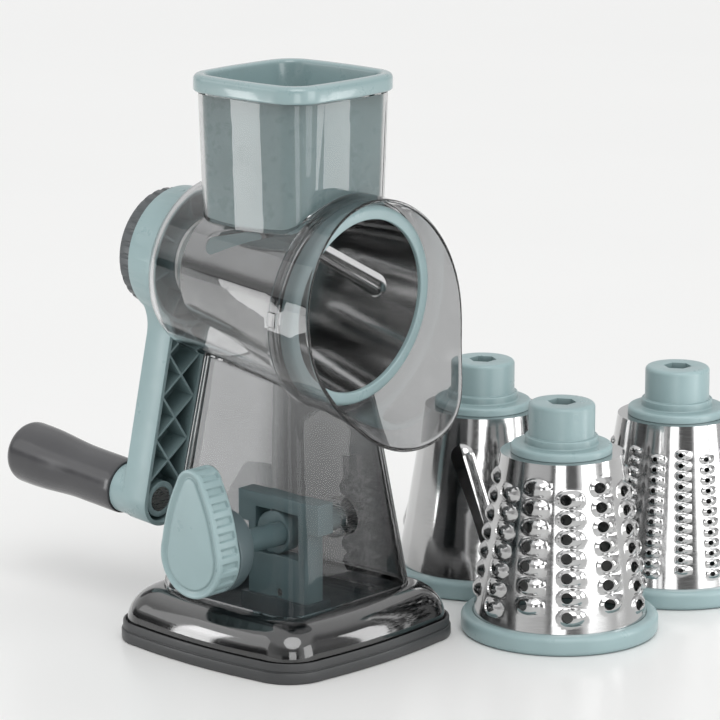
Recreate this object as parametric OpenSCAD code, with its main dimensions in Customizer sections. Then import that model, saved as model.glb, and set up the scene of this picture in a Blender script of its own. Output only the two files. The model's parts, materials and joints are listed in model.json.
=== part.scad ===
// Hand-cranked rotary drum shredder on a lever suction base, with three spare grating drums.
// Millimetres, +Z up. The origin is the centre of the base's underside. The drum's mouth faces -Y,
// the crank turns at the +Y end, and the suction knob is on the -X side.

/* [Base] */
// Side of the square base, before its sides bow out
base_w = 132; // [120:1:150]
// Corner radius of the base
base_corner_r = 23; // [16:1:30]
// How far the middle of each base side bows out
base_bow = 2.9; // [0:0.1:5]
// Height of the black foot band
foot_h = 9.5; // [8:0.5:14]
// Width of the ledge between the foot band and the skirt
ledge_w = 3; // [2:0.5:5]
// Height of the domed skirt above the foot band
skirt_h = 18; // [14:0.5:26]

/* [Column] */
// Width of the column where it leaves the skirt
column_foot_w = 96; // [88:1:104]
// Corner radius there
column_foot_r = 14; // [10:1:18]
// Width of the column near its top
column_top_w = 63; // [56:1:70]
// Corner radius near the top
column_top_r = 10; // [8:1:14]
// Wall of the column and of the skirt
column_wall = 2.5; // [2:0.1:3]

/* [Drum axis] */
// Height of the drum axis over the centre of the base
axis_z = 183.2; // [180:0.2:187]
// Rise of the drum axis towards the crank, in degrees
axis_tilt = 5; // [0:0.5:7]

/* [Barrel] */
// Outer radius of the barrel just behind its mouth collar
barrel_mouth_r = 51.8; // [51:0.1:54]
// Outer radius of the barrel where its end starts to round over
barrel_rear_r = 46.1; // [44:0.1:48]
// Wall of the barrel
barrel_wall = 2.2; // [1.8:0.1:2.6]
// Rounding of the barrel's closed end
barrel_round_r = 11.5; // [9:0.5:13]
// Distance from the steel cone's narrow end back to the end face of the barrel
barrel_end_room = 15; // [14.5:0.5:18]
// Wall of the collar round the mouth
collar_wall = 1.9; // [1.5:0.1:2.2]
// Length of the collar
collar_l = 10; // [8:0.5:12]

/* [Chute and pusher] */
// Outer width of the feed chute at its top
chute_top_w = 75.2; // [70:0.2:78]
// Outer width of the feed chute lower down, beside the barrel
chute_low_w = 71.4; // [68:0.2:74]
// Corner radius of the chute's top
chute_top_r = 15.3; // [12:0.1:18]
// Wall of the chute
chute_wall = 1.8; // [1.5:0.1:2.4]
// Height of the chute's top edge above the drum axis
chute_rise = 97.8; // [88:0.1:115]
// Distance of the chute's centre in front of the column's centre
chute_front_y = 6.1; // [4:0.1:8]
// Width of the pusher's rim
pusher_rim_w = 80; // [78:0.5:86]
// Corner radius of the pusher's rim
pusher_rim_r = 17.7; // [14:0.1:20]
// Height of the pusher's rim
pusher_rim_h = 9; // [6:0.5:12]
// Wall of the pusher
pusher_wall = 2.4; // [2:0.1:3]
// Clearance between the pusher's underside and the sweep of the drum's blades
saddle_gap = 1.4; // [1:0.1:4]
// Height of the pusher's floor inside, above the drum axis
pusher_floor_rise = 48.8; // [46:0.1:56]

/* [Guard] */
// Wall of the mouth guard
guard_wall = 1.6; // [1.4:0.1:2.2]
// Radius that the guard gains from its neck to its lip
guard_flare = 8.2; // [6:0.1:10]
// Distance from the axis origin forward to the guard's lip, at the bottom
guard_lip_s = 94.5; // [85:0.5:98]
// Distance forward to the guard's edge, at the top
guard_top_s = 54.5; // [54:0.5:60]

/* [Drums] */
// Outer radius of the drum's rim ring
ring_r = 50.5; // [49.5:0.1:51]
// Bore radius of the rim ring
ring_bore_r = 43.8; // [42:0.1:44]
// Height of the rim ring
ring_h = 10; // [9:0.5:14]
// Outer radius of the steel cone at its wide end
cone_wide_r = 45.5; // [45:0.1:46]
// Outer radius of the steel cone at its narrow end
cone_narrow_r = 31; // [29:0.1:32]
// Length of the steel cone
cone_l = 91.5; // [88:0.5:92]
// Thickness of the steel
steel_t = 0.8; // [0.6:0.1:1]
// Radius of the hub's flange on the narrow end
stub_flange_r = 25.8; // [24:0.1:27]
// Height of that flange, and of the step above it
stub_step_h = 4.3; // [3.5:0.1:4.5]
// Radius of the step
stub_step_r = 18.6; // [18:0.1:20]
// Radius of the drum's journal, which turns in the bush
journal_r = 16.9; // [16:0.1:17.5]
// Length of the journal
journal_l = 17; // [16:0.5:18]
// Distance from the axis origin forward to the rim ring's front face
drum_front_s = 52; // [51.5:0.1:53]

/* [Grating patterns] */
// Columns of coarse teeth
coarse_columns = 12; // [10:2:14]
// Rows of coarse teeth
coarse_rows = 7; // [5:1:7]
// Radius of a coarse hole
coarse_hole_r = 3.1; // [2.5:0.1:3.3]
// Columns of fine teeth
fine_columns = 16; // [12:2:18]
// Rows of fine teeth
fine_rows = 12; // [8:1:12]
// Radius of a fine hole
fine_hole_r = 1.4; // [1:0.1:1.6]
// Slicing blades on a slicing drum
slice_blades = 3; // [2:1:4]
// Length of a slicing blade
slice_l = 66; // [54:1:68]
// Radius to which a slicing blade's hood is pressed
slice_hood_r = 8; // [6:0.1:9]
// Slant of a slicing blade, in degrees
slice_slant = 18; // [0:1:20]
// How far a slicing blade stands out of the cone
slice_rise = 2.6; // [1.8:0.1:3]

/* [Crank] */
// Distance from the drum axis to the grip's axis
crank_throw = 128; // [110:1:132]
// Angle of the arm from straight down, in degrees
crank_angle = 8; // [0:1:20]
// Clearance between the barrel's end face and the arm
crank_gap = 2; // [1.5:0.1:3]
// Thickness of the arm
arm_t = 16.5; // [14:0.5:18]
// Width of the arm
arm_w = 27.4; // [24:0.2:30]
// Radius of the hub at its front face
hub_front_r = 35.5; // [33:0.1:37]
// Radius of the hub at its back face
hub_rear_r = 33.7; // [32:0.1:35]
// Thickness of the hub
hub_t = 18.5; // [17.5:0.5:20]
// Wall round the arm's pocket
arm_wall = 2.2; // [1.8:0.1:3]
// Skin behind the arm's pocket
arm_skin = 2.6; // [2:0.1:4]
// Pitch of the crossed ribs along the arm
rib_pitch = 22.5; // [18:0.5:28]
// Thickness of a rib
rib_t = 1.2; // [0.8:0.1:2]

/* [Grip] */
// Length of the grip
grip_l = 78; // [70:1:95]
// Radius of the grip at its thickest
grip_r = 16.4; // [14:0.1:18]
// Radius of the grip next to the arm
grip_neck_r = 14.3; // [12:0.1:15]
// Height of the collar between the arm and the grip
collar_h = 10; // [6:0.5:14]
// Radius of that collar
grip_collar_r = 13.2; // [11:0.1:14]
// Radius of the grip's axle
axle_r = 4; // [3:0.1:5]

/* [Lock knob] */
// Radius of the lock knob over its lobes
knob_r = 30.6; // [28:0.1:32]
// Thickness of the lock knob
knob_t = 10.5; // [8:0.5:13]
// Lobes round the lock knob
knob_lobes = 30; // [20:1:36]
// Radius of the lock stud
stud_r = 4; // [3:0.1:4.5]

/* [Suction lever] */
// Height of the cam shaft
cam_z = 55; // [52:0.5:58]
// Radius of the cam shaft
cam_shaft_r = 6; // [5.5:0.1:7]
// Throw of the cam
cam_throw = 3; // [2:0.1:3.5]
// Radius of the cam
cam_r = 11; // [10.5:0.1:12]
// Distance from the column's wall out to the egg knob's face
egg_stand_off = 24.9; // [22:0.1:28]
// Thickness of the egg knob
egg_t = 15.3; // [12:0.1:18]
// Radius of the egg knob's wide end
egg_wide_r = 20.5; // [18:0.1:22]
// Radius of the egg knob's narrow end
egg_narrow_r = 9; // [7:0.1:12]
// Distance between the egg knob's two ends
egg_reach = 36; // [30:0.5:40]
// Thickness of the yoke that the cam lifts
yoke_t = 11; // [9:0.5:12]
// Width of the yoke's head
yoke_w = 54; // [48:1:58]
// Width of the yoke's stem
yoke_stem_w = 40; // [38:1:44]
// Height of the yoke's top
yoke_top_z = 74; // [72:1:80]
// Radius of the suction pad
pad_r = 54; // [48:0.5:54.5]

/* [Spare drums] */
// Distance from the base's right side to the coarse drum's axis
coarse_aside = 37; // [34:1:50]
// and from the base's front side
coarse_ahead = 29; // [26:1:50]
// Distance from the base's right side to the slicing drum's axis
slicing_aside = 83; // [79:1:105]
// Distance of that axis in front of the base's centre
slicing_y = 3; // [-20:1:4]
// Distance from the base's right side to the fine drum's axis
fine_aside = 140; // [138:1:165]
// and from the base's front side
fine_ahead = 23; // [20:1:26]

/* [Hidden] */
$fn = 96;

// Clearances: a running fit, a loose fit between moving pieces, and a seam within one body
run_gap = 0.05;
gap = 0.35;
seam = 0.1;
// Overrun of every cut, and the skin used where an outline is hulled
over = 1;
skin = 0.05;
// Steps of an outline's corner and of its bowed side
corner_steps = 6;
side_steps = 4;

// Heights and half widths that several pieces share
skirt_top_z = foot_h + skirt_h;
skirt_foot_w = base_w - 2 * ledge_w;
skirt_foot_r = base_corner_r - ledge_w;
column_top_z = 149;
column_top_drop = 7.2;
column_bow = 0.3;
column_taper = (column_foot_w - column_top_w) / (2 * (column_top_z - skirt_top_z));
column_raw_top_z = axis_z - column_top_drop;
plate_t = 3;
plate_z = foot_h;

// The drum axis, with s counted back from above the base's centre
cone_foot_h = 2.5;
cone_half = atan((cone_wide_r - cone_narrow_r) / cone_l);
barrel_front_s = 46;
cone_top_z = cone_foot_h + cone_l;
barrel_end_s = cone_top_z - drum_front_s + barrel_end_room;
crank_front_s = barrel_end_s + crank_gap;
hub_rear_s = crank_front_s + hub_t;
arm_rear_s = crank_front_s + arm_t;

module on_axis(s = 0)
  translate([0, 0, axis_z])
    rotate([axis_tilt - 90, 0, 0])
      translate([0, 0, s])
        children();

// A rounded rectangle with bowed sides, as a list of points
function bowed(w, r, bow, d = 0) =
  let (hx = w / 2 - r, hy = (d == 0 ? w : d) / 2 - r)
  [for (k = [0:3])
    let (
      sx = (k == 0 || k == 3) ? 1 : -1,
      sy = k < 2 ? 1 : -1,
      a1 = 90 * (k + 1),
      run = (k % 2 == 0 ? hx : hy) * 2
    )
    each concat(
      [for (i = [0:corner_steps]) let (a = 90 * (k + i / corner_steps))
        [sx * hx + r * cos(a), sy * hy + r * sin(a)]],
      [for (i = [1:side_steps - 1]) let (u = i / side_steps, b = r + 4 * bow * u * (1 - u))
        [sx * hx + b * cos(a1) - run * u * sin(a1), sy * hy + b * sin(a1) + run * u * cos(a1)]]
    )
  ];

// A closed solid through outlines of equal point count, each at its own height
module loft(outlines, heights) {
  n = len(outlines[0]);
  m = len(outlines);
  points = [for (j = [0:m - 1]) for (p = outlines[j]) [p[0], p[1], heights[j]]];
  sides = [for (j = [0:m - 2]) for (i = [0:n - 1])
    each [
      [j * n + i, (j + 1) * n + i, (j + 1) * n + (i + 1) % n],
      [j * n + i, (j + 1) * n + (i + 1) % n, j * n + (i + 1) % n]
    ]];
  polyhedron(
    points,
    concat(sides, [[for (i = [0:n - 1]) i]], [[for (i = [n - 1:-1:0]) (m - 1) * n + i]])
  );
}

module cut_cylinder(r, from, to)
  translate([0, 0, from])
    cylinder(h = to - from, r = r);

// Base

foot_chamfer = 1.4;
foot_bore_r = pad_r + 1.5;

module base_foot() color([0.16, 0.16, 0.17])
  difference() {
    loft(
      [
        bowed(base_w - 2 * foot_chamfer, base_corner_r - foot_chamfer, base_bow),
        bowed(base_w, base_corner_r, base_bow),
        bowed(base_w, base_corner_r, base_bow),
        bowed(base_w - 2 * foot_chamfer, base_corner_r - foot_chamfer, base_bow)
      ],
      [0, foot_chamfer, foot_h - foot_chamfer, foot_h]
    );
    cut_cylinder(foot_bore_r, -over, foot_h + over);
    screw_places() {
      cut_cylinder(screw_hole_r, -over, foot_h + over);
      cut_cylinder(screw_head_r + gap, -over, screw_seat_z);
    }
  }

screw_inset = 14;
screw_place = skirt_foot_w / 2 - screw_inset;
screw_r = 1.9;
screw_hole_r = 2.2;
screw_head_r = 3.6;
screw_head_h = 2.4;
screw_seat_z = 4.5;
screw_l = 12;

module screw_places()
  for (sx = [-1, 1])
    for (sy = [-1, 1])
      translate([sx * screw_place, sy * screw_place, 0])
        children();

module base_screws() color("silver")
  screw_places() {
    cut_cylinder(screw_head_r, screw_seat_z - screw_head_h, screw_seat_z);
    cut_cylinder(screw_r, screw_seat_z, screw_seat_z + screw_l);
  }

guide_wall = 2.5;
guide_h = 12;
yoke_x0 = -0.5;
plate_gap = 1.5;
plate_inset = column_wall + plate_gap;
plate_w = skirt_foot_w - 2 * plate_inset;

module base_plate() color([0.18, 0.18, 0.19])
  difference() {
    union() {
      translate([0, 0, plate_z])
        linear_extrude(plate_t)
          polygon(bowed(plate_w, skirt_foot_r - plate_inset, base_bow));
      yoke_block(yoke_stem_w, gap + guide_wall, plate_z, plate_z + guide_h);
    }
    yoke_block(yoke_stem_w, gap, plate_z - over, plate_z + guide_h + over);
    screw_places()
      cut_cylinder(screw_hole_r, -over, plate_z + plate_t + over);
  }

module yoke_block(w, grow, from, to)
  translate([yoke_x0 - yoke_t / 2 - grow, -w / 2 - grow, from])
    cube([yoke_t + 2 * grow, w + 2 * grow, to - from]);

// The skirt is a quarter round from the ledge up to the column's crease
skirt_steps = 5;
skirt_angles = [for (i = [0:skirt_steps]) 90 * i / skirt_steps];

module skirt_solid(inset)
  loft(
    [for (a = skirt_angles)
      bowed(
        column_foot_w - 2 * inset + (skirt_foot_w - column_foot_w) * cos(a),
        column_foot_r - inset + (skirt_foot_r - column_foot_r) * cos(a),
        column_bow + (base_bow - column_bow) * cos(a)
      )],
    [for (a = skirt_angles) foot_h - (inset > 0 ? over : 0) * cos(a) + (skirt_h - inset) * sin(a)]
  );

module stand_skirt() color([0.3, 0.3, 0.31, 0.9]) {
  difference() {
    skirt_solid(0);
    skirt_solid(column_wall);
    translate([0, 0, foot_h + over])
      linear_extrude(skirt_h)
        polygon(bowed(column_foot_w - 2 * skirt_lip, column_foot_r - skirt_lip, column_bow));
  }
  difference() {
    intersection() {
      screw_places()
        cut_cylinder(screw_boss_r, plate_z + plate_t + seam, skirt_top_z);
      skirt_solid(column_wall / 2);
    }
    screw_places()
      cut_cylinder(screw_r + run_gap, plate_z, screw_seat_z + screw_l + seam);
  }
}

skirt_lip = column_wall + seam;
screw_boss_r = 4.2;

// Column, cut to the barrel that it carries

function column_w(z) = column_foot_w - 2 * column_taper * (z - skirt_top_z);
function column_r(z) =
  column_foot_r - (column_foot_r - column_top_r) * (z - skirt_top_z) / (column_top_z - skirt_top_z);

module column_solid(inset, low, high)
  loft(
    [for (z = [low, high]) bowed(column_w(z) - 2 * inset, column_r(z) - inset, column_bow)],
    [low, high]
  );

module stand_column() color([0.55, 0.55, 0.56, 0.6])
  difference() {
    column_solid(0, skirt_top_z, column_raw_top_z);
    column_solid(column_wall, skirt_top_z - over, column_raw_top_z + over);
    on_axis() {
      barrel_outer(seam);
      cut_cylinder(collar_r + seam, -barrel_front_s - over, collar_back_s + seam);
    }
    translate([-column_foot_w, 0, cam_z])
      rotate([0, 90, 0])
        cut_cylinder(cam_shaft_r + gap, 0, column_foot_w);
  }

// Barrel: a closed cone with a collar round its mouth

rear_face_r = barrel_rear_r - barrel_round_r;
round_s = barrel_end_s - barrel_round_r;
round_steps = 6;

module barrel_outer(grow)
  rotate_extrude()
    polygon(concat(
      [[0, -barrel_front_s], [barrel_mouth_r + grow, -barrel_front_s]],
      [for (i = [0:round_steps]) let (a = 90 * i / round_steps)
        [rear_face_r + (barrel_round_r + grow) * cos(a), round_s + (barrel_round_r + grow) * sin(a)]],
      [[0, barrel_end_s + grow]]
    ));

module barrel_inner()
  rotate_extrude()
    polygon(concat(
      [[0, -barrel_front_s - over], [barrel_mouth_r - barrel_wall, -barrel_front_s - over]],
      [for (i = [0:round_steps]) let (a = 90 * i / round_steps, r = barrel_round_r - barrel_wall)
        [rear_face_r + r * cos(a), round_s + r * sin(a)]],
      [[0, barrel_end_s - barrel_wall]]
    ));

collar_bore_r = ring_r + gap;
collar_r = collar_bore_r + collar_wall;
collar_back_s = collar_l - barrel_front_s;
ring_back_s = ring_h - drum_front_s;
lug_w = 7;
lug_l = 5;
lug_rise = 2.2;
lug_setback = 1;
lug_front_s = lug_setback - barrel_front_s;

module drum_barrel() color([0.55, 0.55, 0.56, 0.6])
  difference() {
    on_axis() {
      difference() {
        union() {
          barrel_outer(0);
          cut_cylinder(collar_r, -barrel_front_s, collar_back_s);
          for (a = [0, 180])
            rotate([0, 0, a])
              translate([collar_r - seam, -lug_w / 2, lug_front_s])
                cube([lug_rise + seam, lug_w, lug_l]);
        }
        barrel_inner();
        cut_cylinder(collar_bore_r, -barrel_front_s - over, ring_back_s + gap);
        cut_cylinder(bush_r, 0, barrel_end_s + over);
      }
    }
    chute_solid(chute_wall);
  }

// Feed chute, square with a slight draft, running into the barrel

chute_low_rise = 41.8;
chute_top_z = axis_z + chute_rise;
chute_low_z = axis_z + chute_low_rise;
chute_low_r = 13.4;
chute_foot_rise = 6.8;
chute_foot_z = axis_z + chute_foot_rise;
chute_draft = (chute_top_w - chute_low_w) / (chute_top_z - chute_low_z);
chute_round = (chute_top_r - chute_low_r) / (chute_top_z - chute_low_z);
chute_bow = 1.1;

function chute_w(z) = chute_low_w + chute_draft * (z - chute_low_z);
function chute_r(z) = chute_low_r + chute_round * (z - chute_low_z);

module chute_loft(inset, low, high)
  translate([0, -chute_front_y, 0])
    loft(
      [for (z = [low, high]) bowed(chute_w(z) - 2 * inset, chute_r(z) - inset, chute_bow)],
      [low, high]
    );

module chute_solid(inset)
  chute_loft(inset, chute_foot_z, chute_top_z + (inset > 0 ? over : 0));

module feed_chute() color([0.75, 0.78, 0.79, 0.6])
  difference() {
    chute_solid(0);
    chute_loft(chute_wall, chute_foot_z - over, chute_top_z + over);
    on_axis() {
      barrel_outer(seam);
      cut_cylinder(collar_r + seam, -barrel_front_s - over, collar_back_s + seam);
    }
  }

// Pusher: a deep cup under a broad rim, with a saddle for the drum

pusher_gap = gap;
pusher_low_rise = 32.8;
pusher_low_z = axis_z + pusher_low_rise;
pusher_floor_z = axis_z + pusher_floor_rise;
rim_round = 3;
rim_steps = 4;

module pusher_loft(inset, low, high)
  chute_loft(chute_wall + pusher_gap + inset, low, high);

module food_pusher() color([0.51, 0.57, 0.58])
  difference() {
    union() {
      pusher_loft(0, pusher_low_z, chute_top_z + pusher_gap);
      translate([0, -chute_front_y, chute_top_z + pusher_gap])
        pusher_rim();
    }
    pusher_loft(pusher_wall, pusher_floor_z, chute_top_z + pusher_rim_h + over);
    on_axis(-drum_front_s)
      cylinder(
        h = cone_top_z,
        r1 = cone_r(0) + slice_rise + saddle_gap,
        r2 = cone_r(cone_top_z) + slice_rise + saddle_gap
      );
  }

module pusher_rim() {
  rise = pusher_rim_h - pusher_gap;
  angles = [for (i = [0:rim_steps]) 90 * i / rim_steps];
  low = [for (a = angles) rim_round * (1 - sin(a))];
  high = [for (i = [rim_steps:-1:0]) rim_round * (1 - sin(angles[i]))];
  low_z = [for (a = angles) rim_round * (1 - cos(a))];
  high_z = [for (i = [rim_steps:-1:0]) rise - rim_round * (1 - cos(angles[i]))];
  insets = concat(low, high);
  loft(
    [for (i = insets) bowed(pusher_rim_w - 2 * i, pusher_rim_r - i, chute_bow)],
    concat(low_z, high_z)
  );
}

// Bush that carries the drum's journal in the barrel's end wall

bush_t = 2.2;
bush_flange_w = 5;
bush_r = journal_r + bush_t;
bush_flange_r = journal_r + bush_flange_w;
bush_flange_t = 1.8;
bush_front_s = barrel_end_s - barrel_wall - bush_flange_t;

module journal_bush() color([0.85, 0.85, 0.83])
  on_axis()
    difference() {
      union() {
        cut_cylinder(bush_r - run_gap, bush_front_s, barrel_end_s + seam);
        cut_cylinder(bush_flange_r, bush_front_s, barrel_end_s - barrel_wall);
      }
      cut_cylinder(journal_r + run_gap, bush_front_s - over, barrel_end_s + over);
    }

// Guard: a clear sleeve over the collar that flares into a pouring lip

guard_r = collar_r + gap;
guard_overlap = 5.5;
guard_neck_l = 4;
guard_back_s = guard_overlap - barrel_front_s;
guard_neck_s = barrel_front_s + guard_neck_l;
guard_steps = 8;
guard_power = 1.6;

function guard_grow(u) = guard_flare * pow(u, guard_power);

module guard_solid(inset, extra)
  rotate_extrude()
    polygon(concat(
      [[0, guard_back_s + extra], [guard_r + inset, guard_back_s + extra]],
      [for (i = [0:guard_steps]) let (u = i / guard_steps)
        [guard_r + inset + guard_grow(u), -guard_neck_s - u * (guard_lip_s - guard_neck_s)]],
      [[0, -guard_lip_s - extra]]
    ));

// The edge runs forward from the top to the sides, and sweeps out to the lip at the bottom
edge_steps = 24;
edge_side_s = 67.5;
lip_sweep = guard_lip_s - 2 * edge_side_s + guard_top_s;
edge_reach = guard_r + guard_wall + guard_flare;
lip_width_share = 0.43;

function edge_s(v) =
  edge_side_s - (edge_side_s - guard_top_s) * v
  + lip_sweep * exp(-pow((1 + v) / lip_width_share, 2));

module guard_edge()
  rotate([0, -90, 0])
    translate([0, 0, -edge_reach - over])
      linear_extrude(2 * edge_reach + 2 * over)
        polygon(concat(
          [for (i = [0:edge_steps]) let (v = 1 - 2 * i / edge_steps)
            [-edge_s(v), -v * (edge_reach + over)]],
          [[guard_back_s + over, edge_reach + over], [guard_back_s + over, -edge_reach - over]]
        ));

module front_guard() color([0.6, 0.6, 0.61, 0.5])
  on_axis()
    intersection() {
      difference() {
        guard_solid(guard_wall, 0);
        guard_solid(0, over);
        for (a = [0, 180])
          rotate([0, 0, a])
            translate([0, -lug_w / 2 - gap, lug_front_s - gap])
              cube([edge_reach, lug_w + 2 * gap, 2 * lug_l]);
      }
      guard_edge();
    }

// Drums: a steel cone clasped by a moulded ring and a moulded hub. The ring's face is at z = 0.

function cone_r(z) = cone_wide_r - (z - cone_foot_h) * tan(cone_half);

ring_round = 1.8;
ring_round_steps = 4;
seat_hole_r = 20;
hub_disc_r = 26;
hub_disc_t = 2.5;
hub_edge = 1.5;
socket_r = 7.4;
socket_l = 10;

module cone_wall(outer)
  cylinder(h = cone_l, r1 = cone_wide_r - outer, r2 = cone_narrow_r - outer);

module cone_shell()
  translate([0, 0, cone_foot_h])
    difference() {
      cone_wall(0);
      difference() {
        translate([0, 0, -skin])
          cone_wall(steel_t);
        cut_cylinder(cone_narrow_r, cone_l - steel_t, cone_l + over);
      }
      cut_cylinder(seat_hole_r, cone_l / 2, cone_l + over);
      translate([0, 0, -over])
        cylinder(h = over + skin, r = cone_wide_r - steel_t);
    }

module on_cone(angle, z)
  rotate([0, 0, angle])
    translate([cone_r(z), 0, z])
      rotate([0, 90 - cone_half, 0])
        children();

module tooth_places(columns, rows, first, pitch)
  for (c = [0:columns - 1])
    for (i = [0:rows - 1])
      on_cone(360 * (c + 0.5) / columns, first + pitch * (i + (c % 2) / 2))
        children();

// Raised teeth with a round hole through each
module tooth_cone(columns, rows, first, pitch, hole_r, foot_r, crown_r, rise)
  difference() {
    union() {
      cone_shell();
      tooth_places(columns, rows, first, pitch)
        translate([0, 0, -steel_t / 2])
          cylinder(h = steel_t / 2 + rise, r1 = foot_r, r2 = crown_r);
    }
    tooth_places(columns, rows, first, pitch)
      cut_cylinder(hole_r, -4 * steel_t, rise + over);
  }

coarse_pitch = 9.75;
coarse_margin = 8.5;
coarse_first = ring_h + coarse_margin;
coarse_rise = 1.6;
coarse_foot_r = 4.7;
coarse_crown_r = 3.8;
fine_pitch = 5.4;
fine_margin = 7.3;
fine_first = ring_h + fine_margin;
fine_rise = 0.9;
fine_foot_r = 2.5;
fine_crown_r = 1.9;

module coarse_cone()
  tooth_cone(
    coarse_columns, coarse_rows, coarse_first, coarse_pitch,
    coarse_hole_r, coarse_foot_r, coarse_crown_r, coarse_rise
  );

module fine_cone()
  tooth_cone(
    fine_columns, fine_rows, fine_first, fine_pitch,
    fine_hole_r, fine_foot_r, fine_crown_r, fine_rise
  );

// Slicing blades: each is half of a hood pressed out of the cone, open along its top edge
slice_margin = 8;
slice_mid_z = ring_h + slice_margin + slice_l / 2;

module hoods(r)
  for (b = [0:slice_blades - 1])
    on_cone(360 * (b + 0.5) / slice_blades, slice_mid_z)
      rotate([0, 0, slice_slant])
        translate([0, 0, slice_rise - slice_hood_r]) {
          rotate([0, 90, 0])
            cylinder(h = slice_l - 2 * slice_hood_r, r = r, center = true);
          for (e = [-1, 1])
            translate([e * (slice_l / 2 - slice_hood_r), 0, 0])
              sphere(r = r);
        }

module hood_sides()
  for (b = [0:slice_blades - 1])
    on_cone(360 * (b + 0.5) / slice_blades, slice_mid_z)
      rotate([0, 0, slice_slant])
        translate([-slice_l, 0, -slice_hood_r])
          cube([2 * slice_l, 2 * slice_hood_r, 2 * slice_hood_r]);

module slicing_cone()
  difference() {
    union() {
      cone_shell();
      difference() {
        intersection() {
          hoods(slice_hood_r);
          hood_sides();
        }
        translate([0, 0, cone_foot_h])
          cone_wall(steel_t / 2);
      }
    }
    hoods(slice_hood_r - steel_t);
  }

module drum_ring() color([0.55, 0.62, 0.63])
  rotate_extrude()
    polygon(concat(
      [[ring_bore_r, 0]],
      [for (i = [0:ring_round_steps]) let (a = 90 * i / ring_round_steps)
        [ring_r - ring_round * (1 - sin(a)), ring_round * (1 - cos(a))]],
      [for (i = [0:ring_round_steps]) let (a = 90 * i / ring_round_steps)
        [ring_r - ring_round * (1 - cos(a)), ring_h - ring_round * (1 - sin(a))]],
      [
        [cone_r(ring_h) + run_gap, ring_h],
        [cone_wide_r + run_gap, cone_foot_h - run_gap],
        [ring_bore_r, cone_foot_h - run_gap]
      ]
    ));

module drum_hub() color([0.58, 0.66, 0.67])
  difference() {
    union() {
      cut_cylinder(hub_disc_r, cone_top_z - steel_t - hub_disc_t, cone_top_z - steel_t);
      cut_cylinder(seat_hole_r - run_gap, cone_top_z - steel_t, cone_top_z);
      cut_cylinder(stub_flange_r, cone_top_z, cone_top_z + stub_step_h - hub_edge);
      translate([0, 0, cone_top_z + stub_step_h - hub_edge])
        cylinder(h = hub_edge, r1 = stub_flange_r, r2 = stub_flange_r - hub_edge);
      cut_cylinder(stub_step_r, cone_top_z, cone_top_z + 2 * stub_step_h);
      cut_cylinder(journal_r, cone_top_z, journal_end_z - hub_edge);
      translate([0, 0, journal_end_z - hub_edge])
        cylinder(h = hub_edge, r1 = journal_r, r2 = journal_r - hub_edge);
    }
    translate([0, 0, journal_end_z - socket_l])
      cylinder(h = socket_l + over, r = socket_r, $fn = 6);
    cut_cylinder(stud_r + gap, journal_end_z - socket_l - stud_bite, journal_end_z);
  }

journal_end_z = cone_top_z + 2 * stub_step_h + journal_l;
stud_bite = 9;

coarse_x = base_w / 2 + coarse_aside;
coarse_y = base_w / 2 + coarse_ahead;
slicing_x = base_w / 2 + slicing_aside;
fine_x = base_w / 2 + fine_aside;
fine_y = base_w / 2 + fine_ahead;

module mounted()
  on_axis(-drum_front_s)
    children();

mounted_turn = 290;
slicing_turn = 157;
coarse_turn = 0;
fine_turn = 0;

module mounted_drum_cone() color("silver") mounted() rotate([0, 0, mounted_turn]) slicing_cone();
module mounted_drum_ring() mounted() drum_ring();
module mounted_drum_hub() mounted() drum_hub();

module spare(x, y, turn)
  translate([x, -y, 0])
    rotate([0, 0, turn])
      children();

module slicing_drum_cone() color("silver") spare(slicing_x, slicing_y, slicing_turn) slicing_cone();
module slicing_drum_ring() spare(slicing_x, slicing_y, slicing_turn) drum_ring();
module slicing_drum_hub() spare(slicing_x, slicing_y, slicing_turn) drum_hub();
module coarse_drum_cone() color("silver") spare(coarse_x, coarse_y, coarse_turn) coarse_cone();
module coarse_drum_ring() spare(coarse_x, coarse_y, coarse_turn) drum_ring();
module coarse_drum_hub() spare(coarse_x, coarse_y, coarse_turn) drum_hub();
module fine_drum_cone() color("silver") spare(fine_x, fine_y, fine_turn) fine_cone();
module fine_drum_ring() spare(fine_x, fine_y, fine_turn) drum_ring();
module fine_drum_hub() spare(fine_x, fine_y, fine_turn) drum_hub();

// Crank: a hub and an arm, open towards the barrel, with crossed ribs in its pocket

journal_end_s = journal_end_z - drum_front_s;
hub_socket_r = journal_r + gap;
hub_socket_s = journal_end_s + gap;
hub_socket_wall = 3;
hub_web_t = 2;
hub_web_s = hub_socket_s + hub_web_t;
hub_ribs = 8;
blend_r = 24;
drive_r = socket_r - gap;
boss_r = 9.5;
rib_count = 4;
rib_end = 21.1;
rib_places = [for (i = [0:rib_count - 1]) crank_throw - rib_end - rib_pitch * i];

module arm_outline(inset) {
  half = arm_w / 2 - inset;
  hub = hub_rear_r - inset;
  blend = blend_r + inset;
  along = sqrt(pow(hub + blend, 2) - pow(half + blend, 2));
  circle(r = hub);
  translate([-half, 0])
    square([2 * half, crank_throw]);
  translate([0, crank_throw])
    circle(r = half);
  for (side = [-1, 1])
    difference() {
      polygon([[0, 0], [side * hub * (half + blend) / (hub + blend), hub * along / (hub + blend)],
        [side * half, along], [0, along]]);
      translate([side * (half + blend), along])
        circle(r = blend);
    }
}

module crank_slab(inset, from, to)
  translate([0, 0, from])
    linear_extrude(to - from)
      arm_outline(inset);

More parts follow.
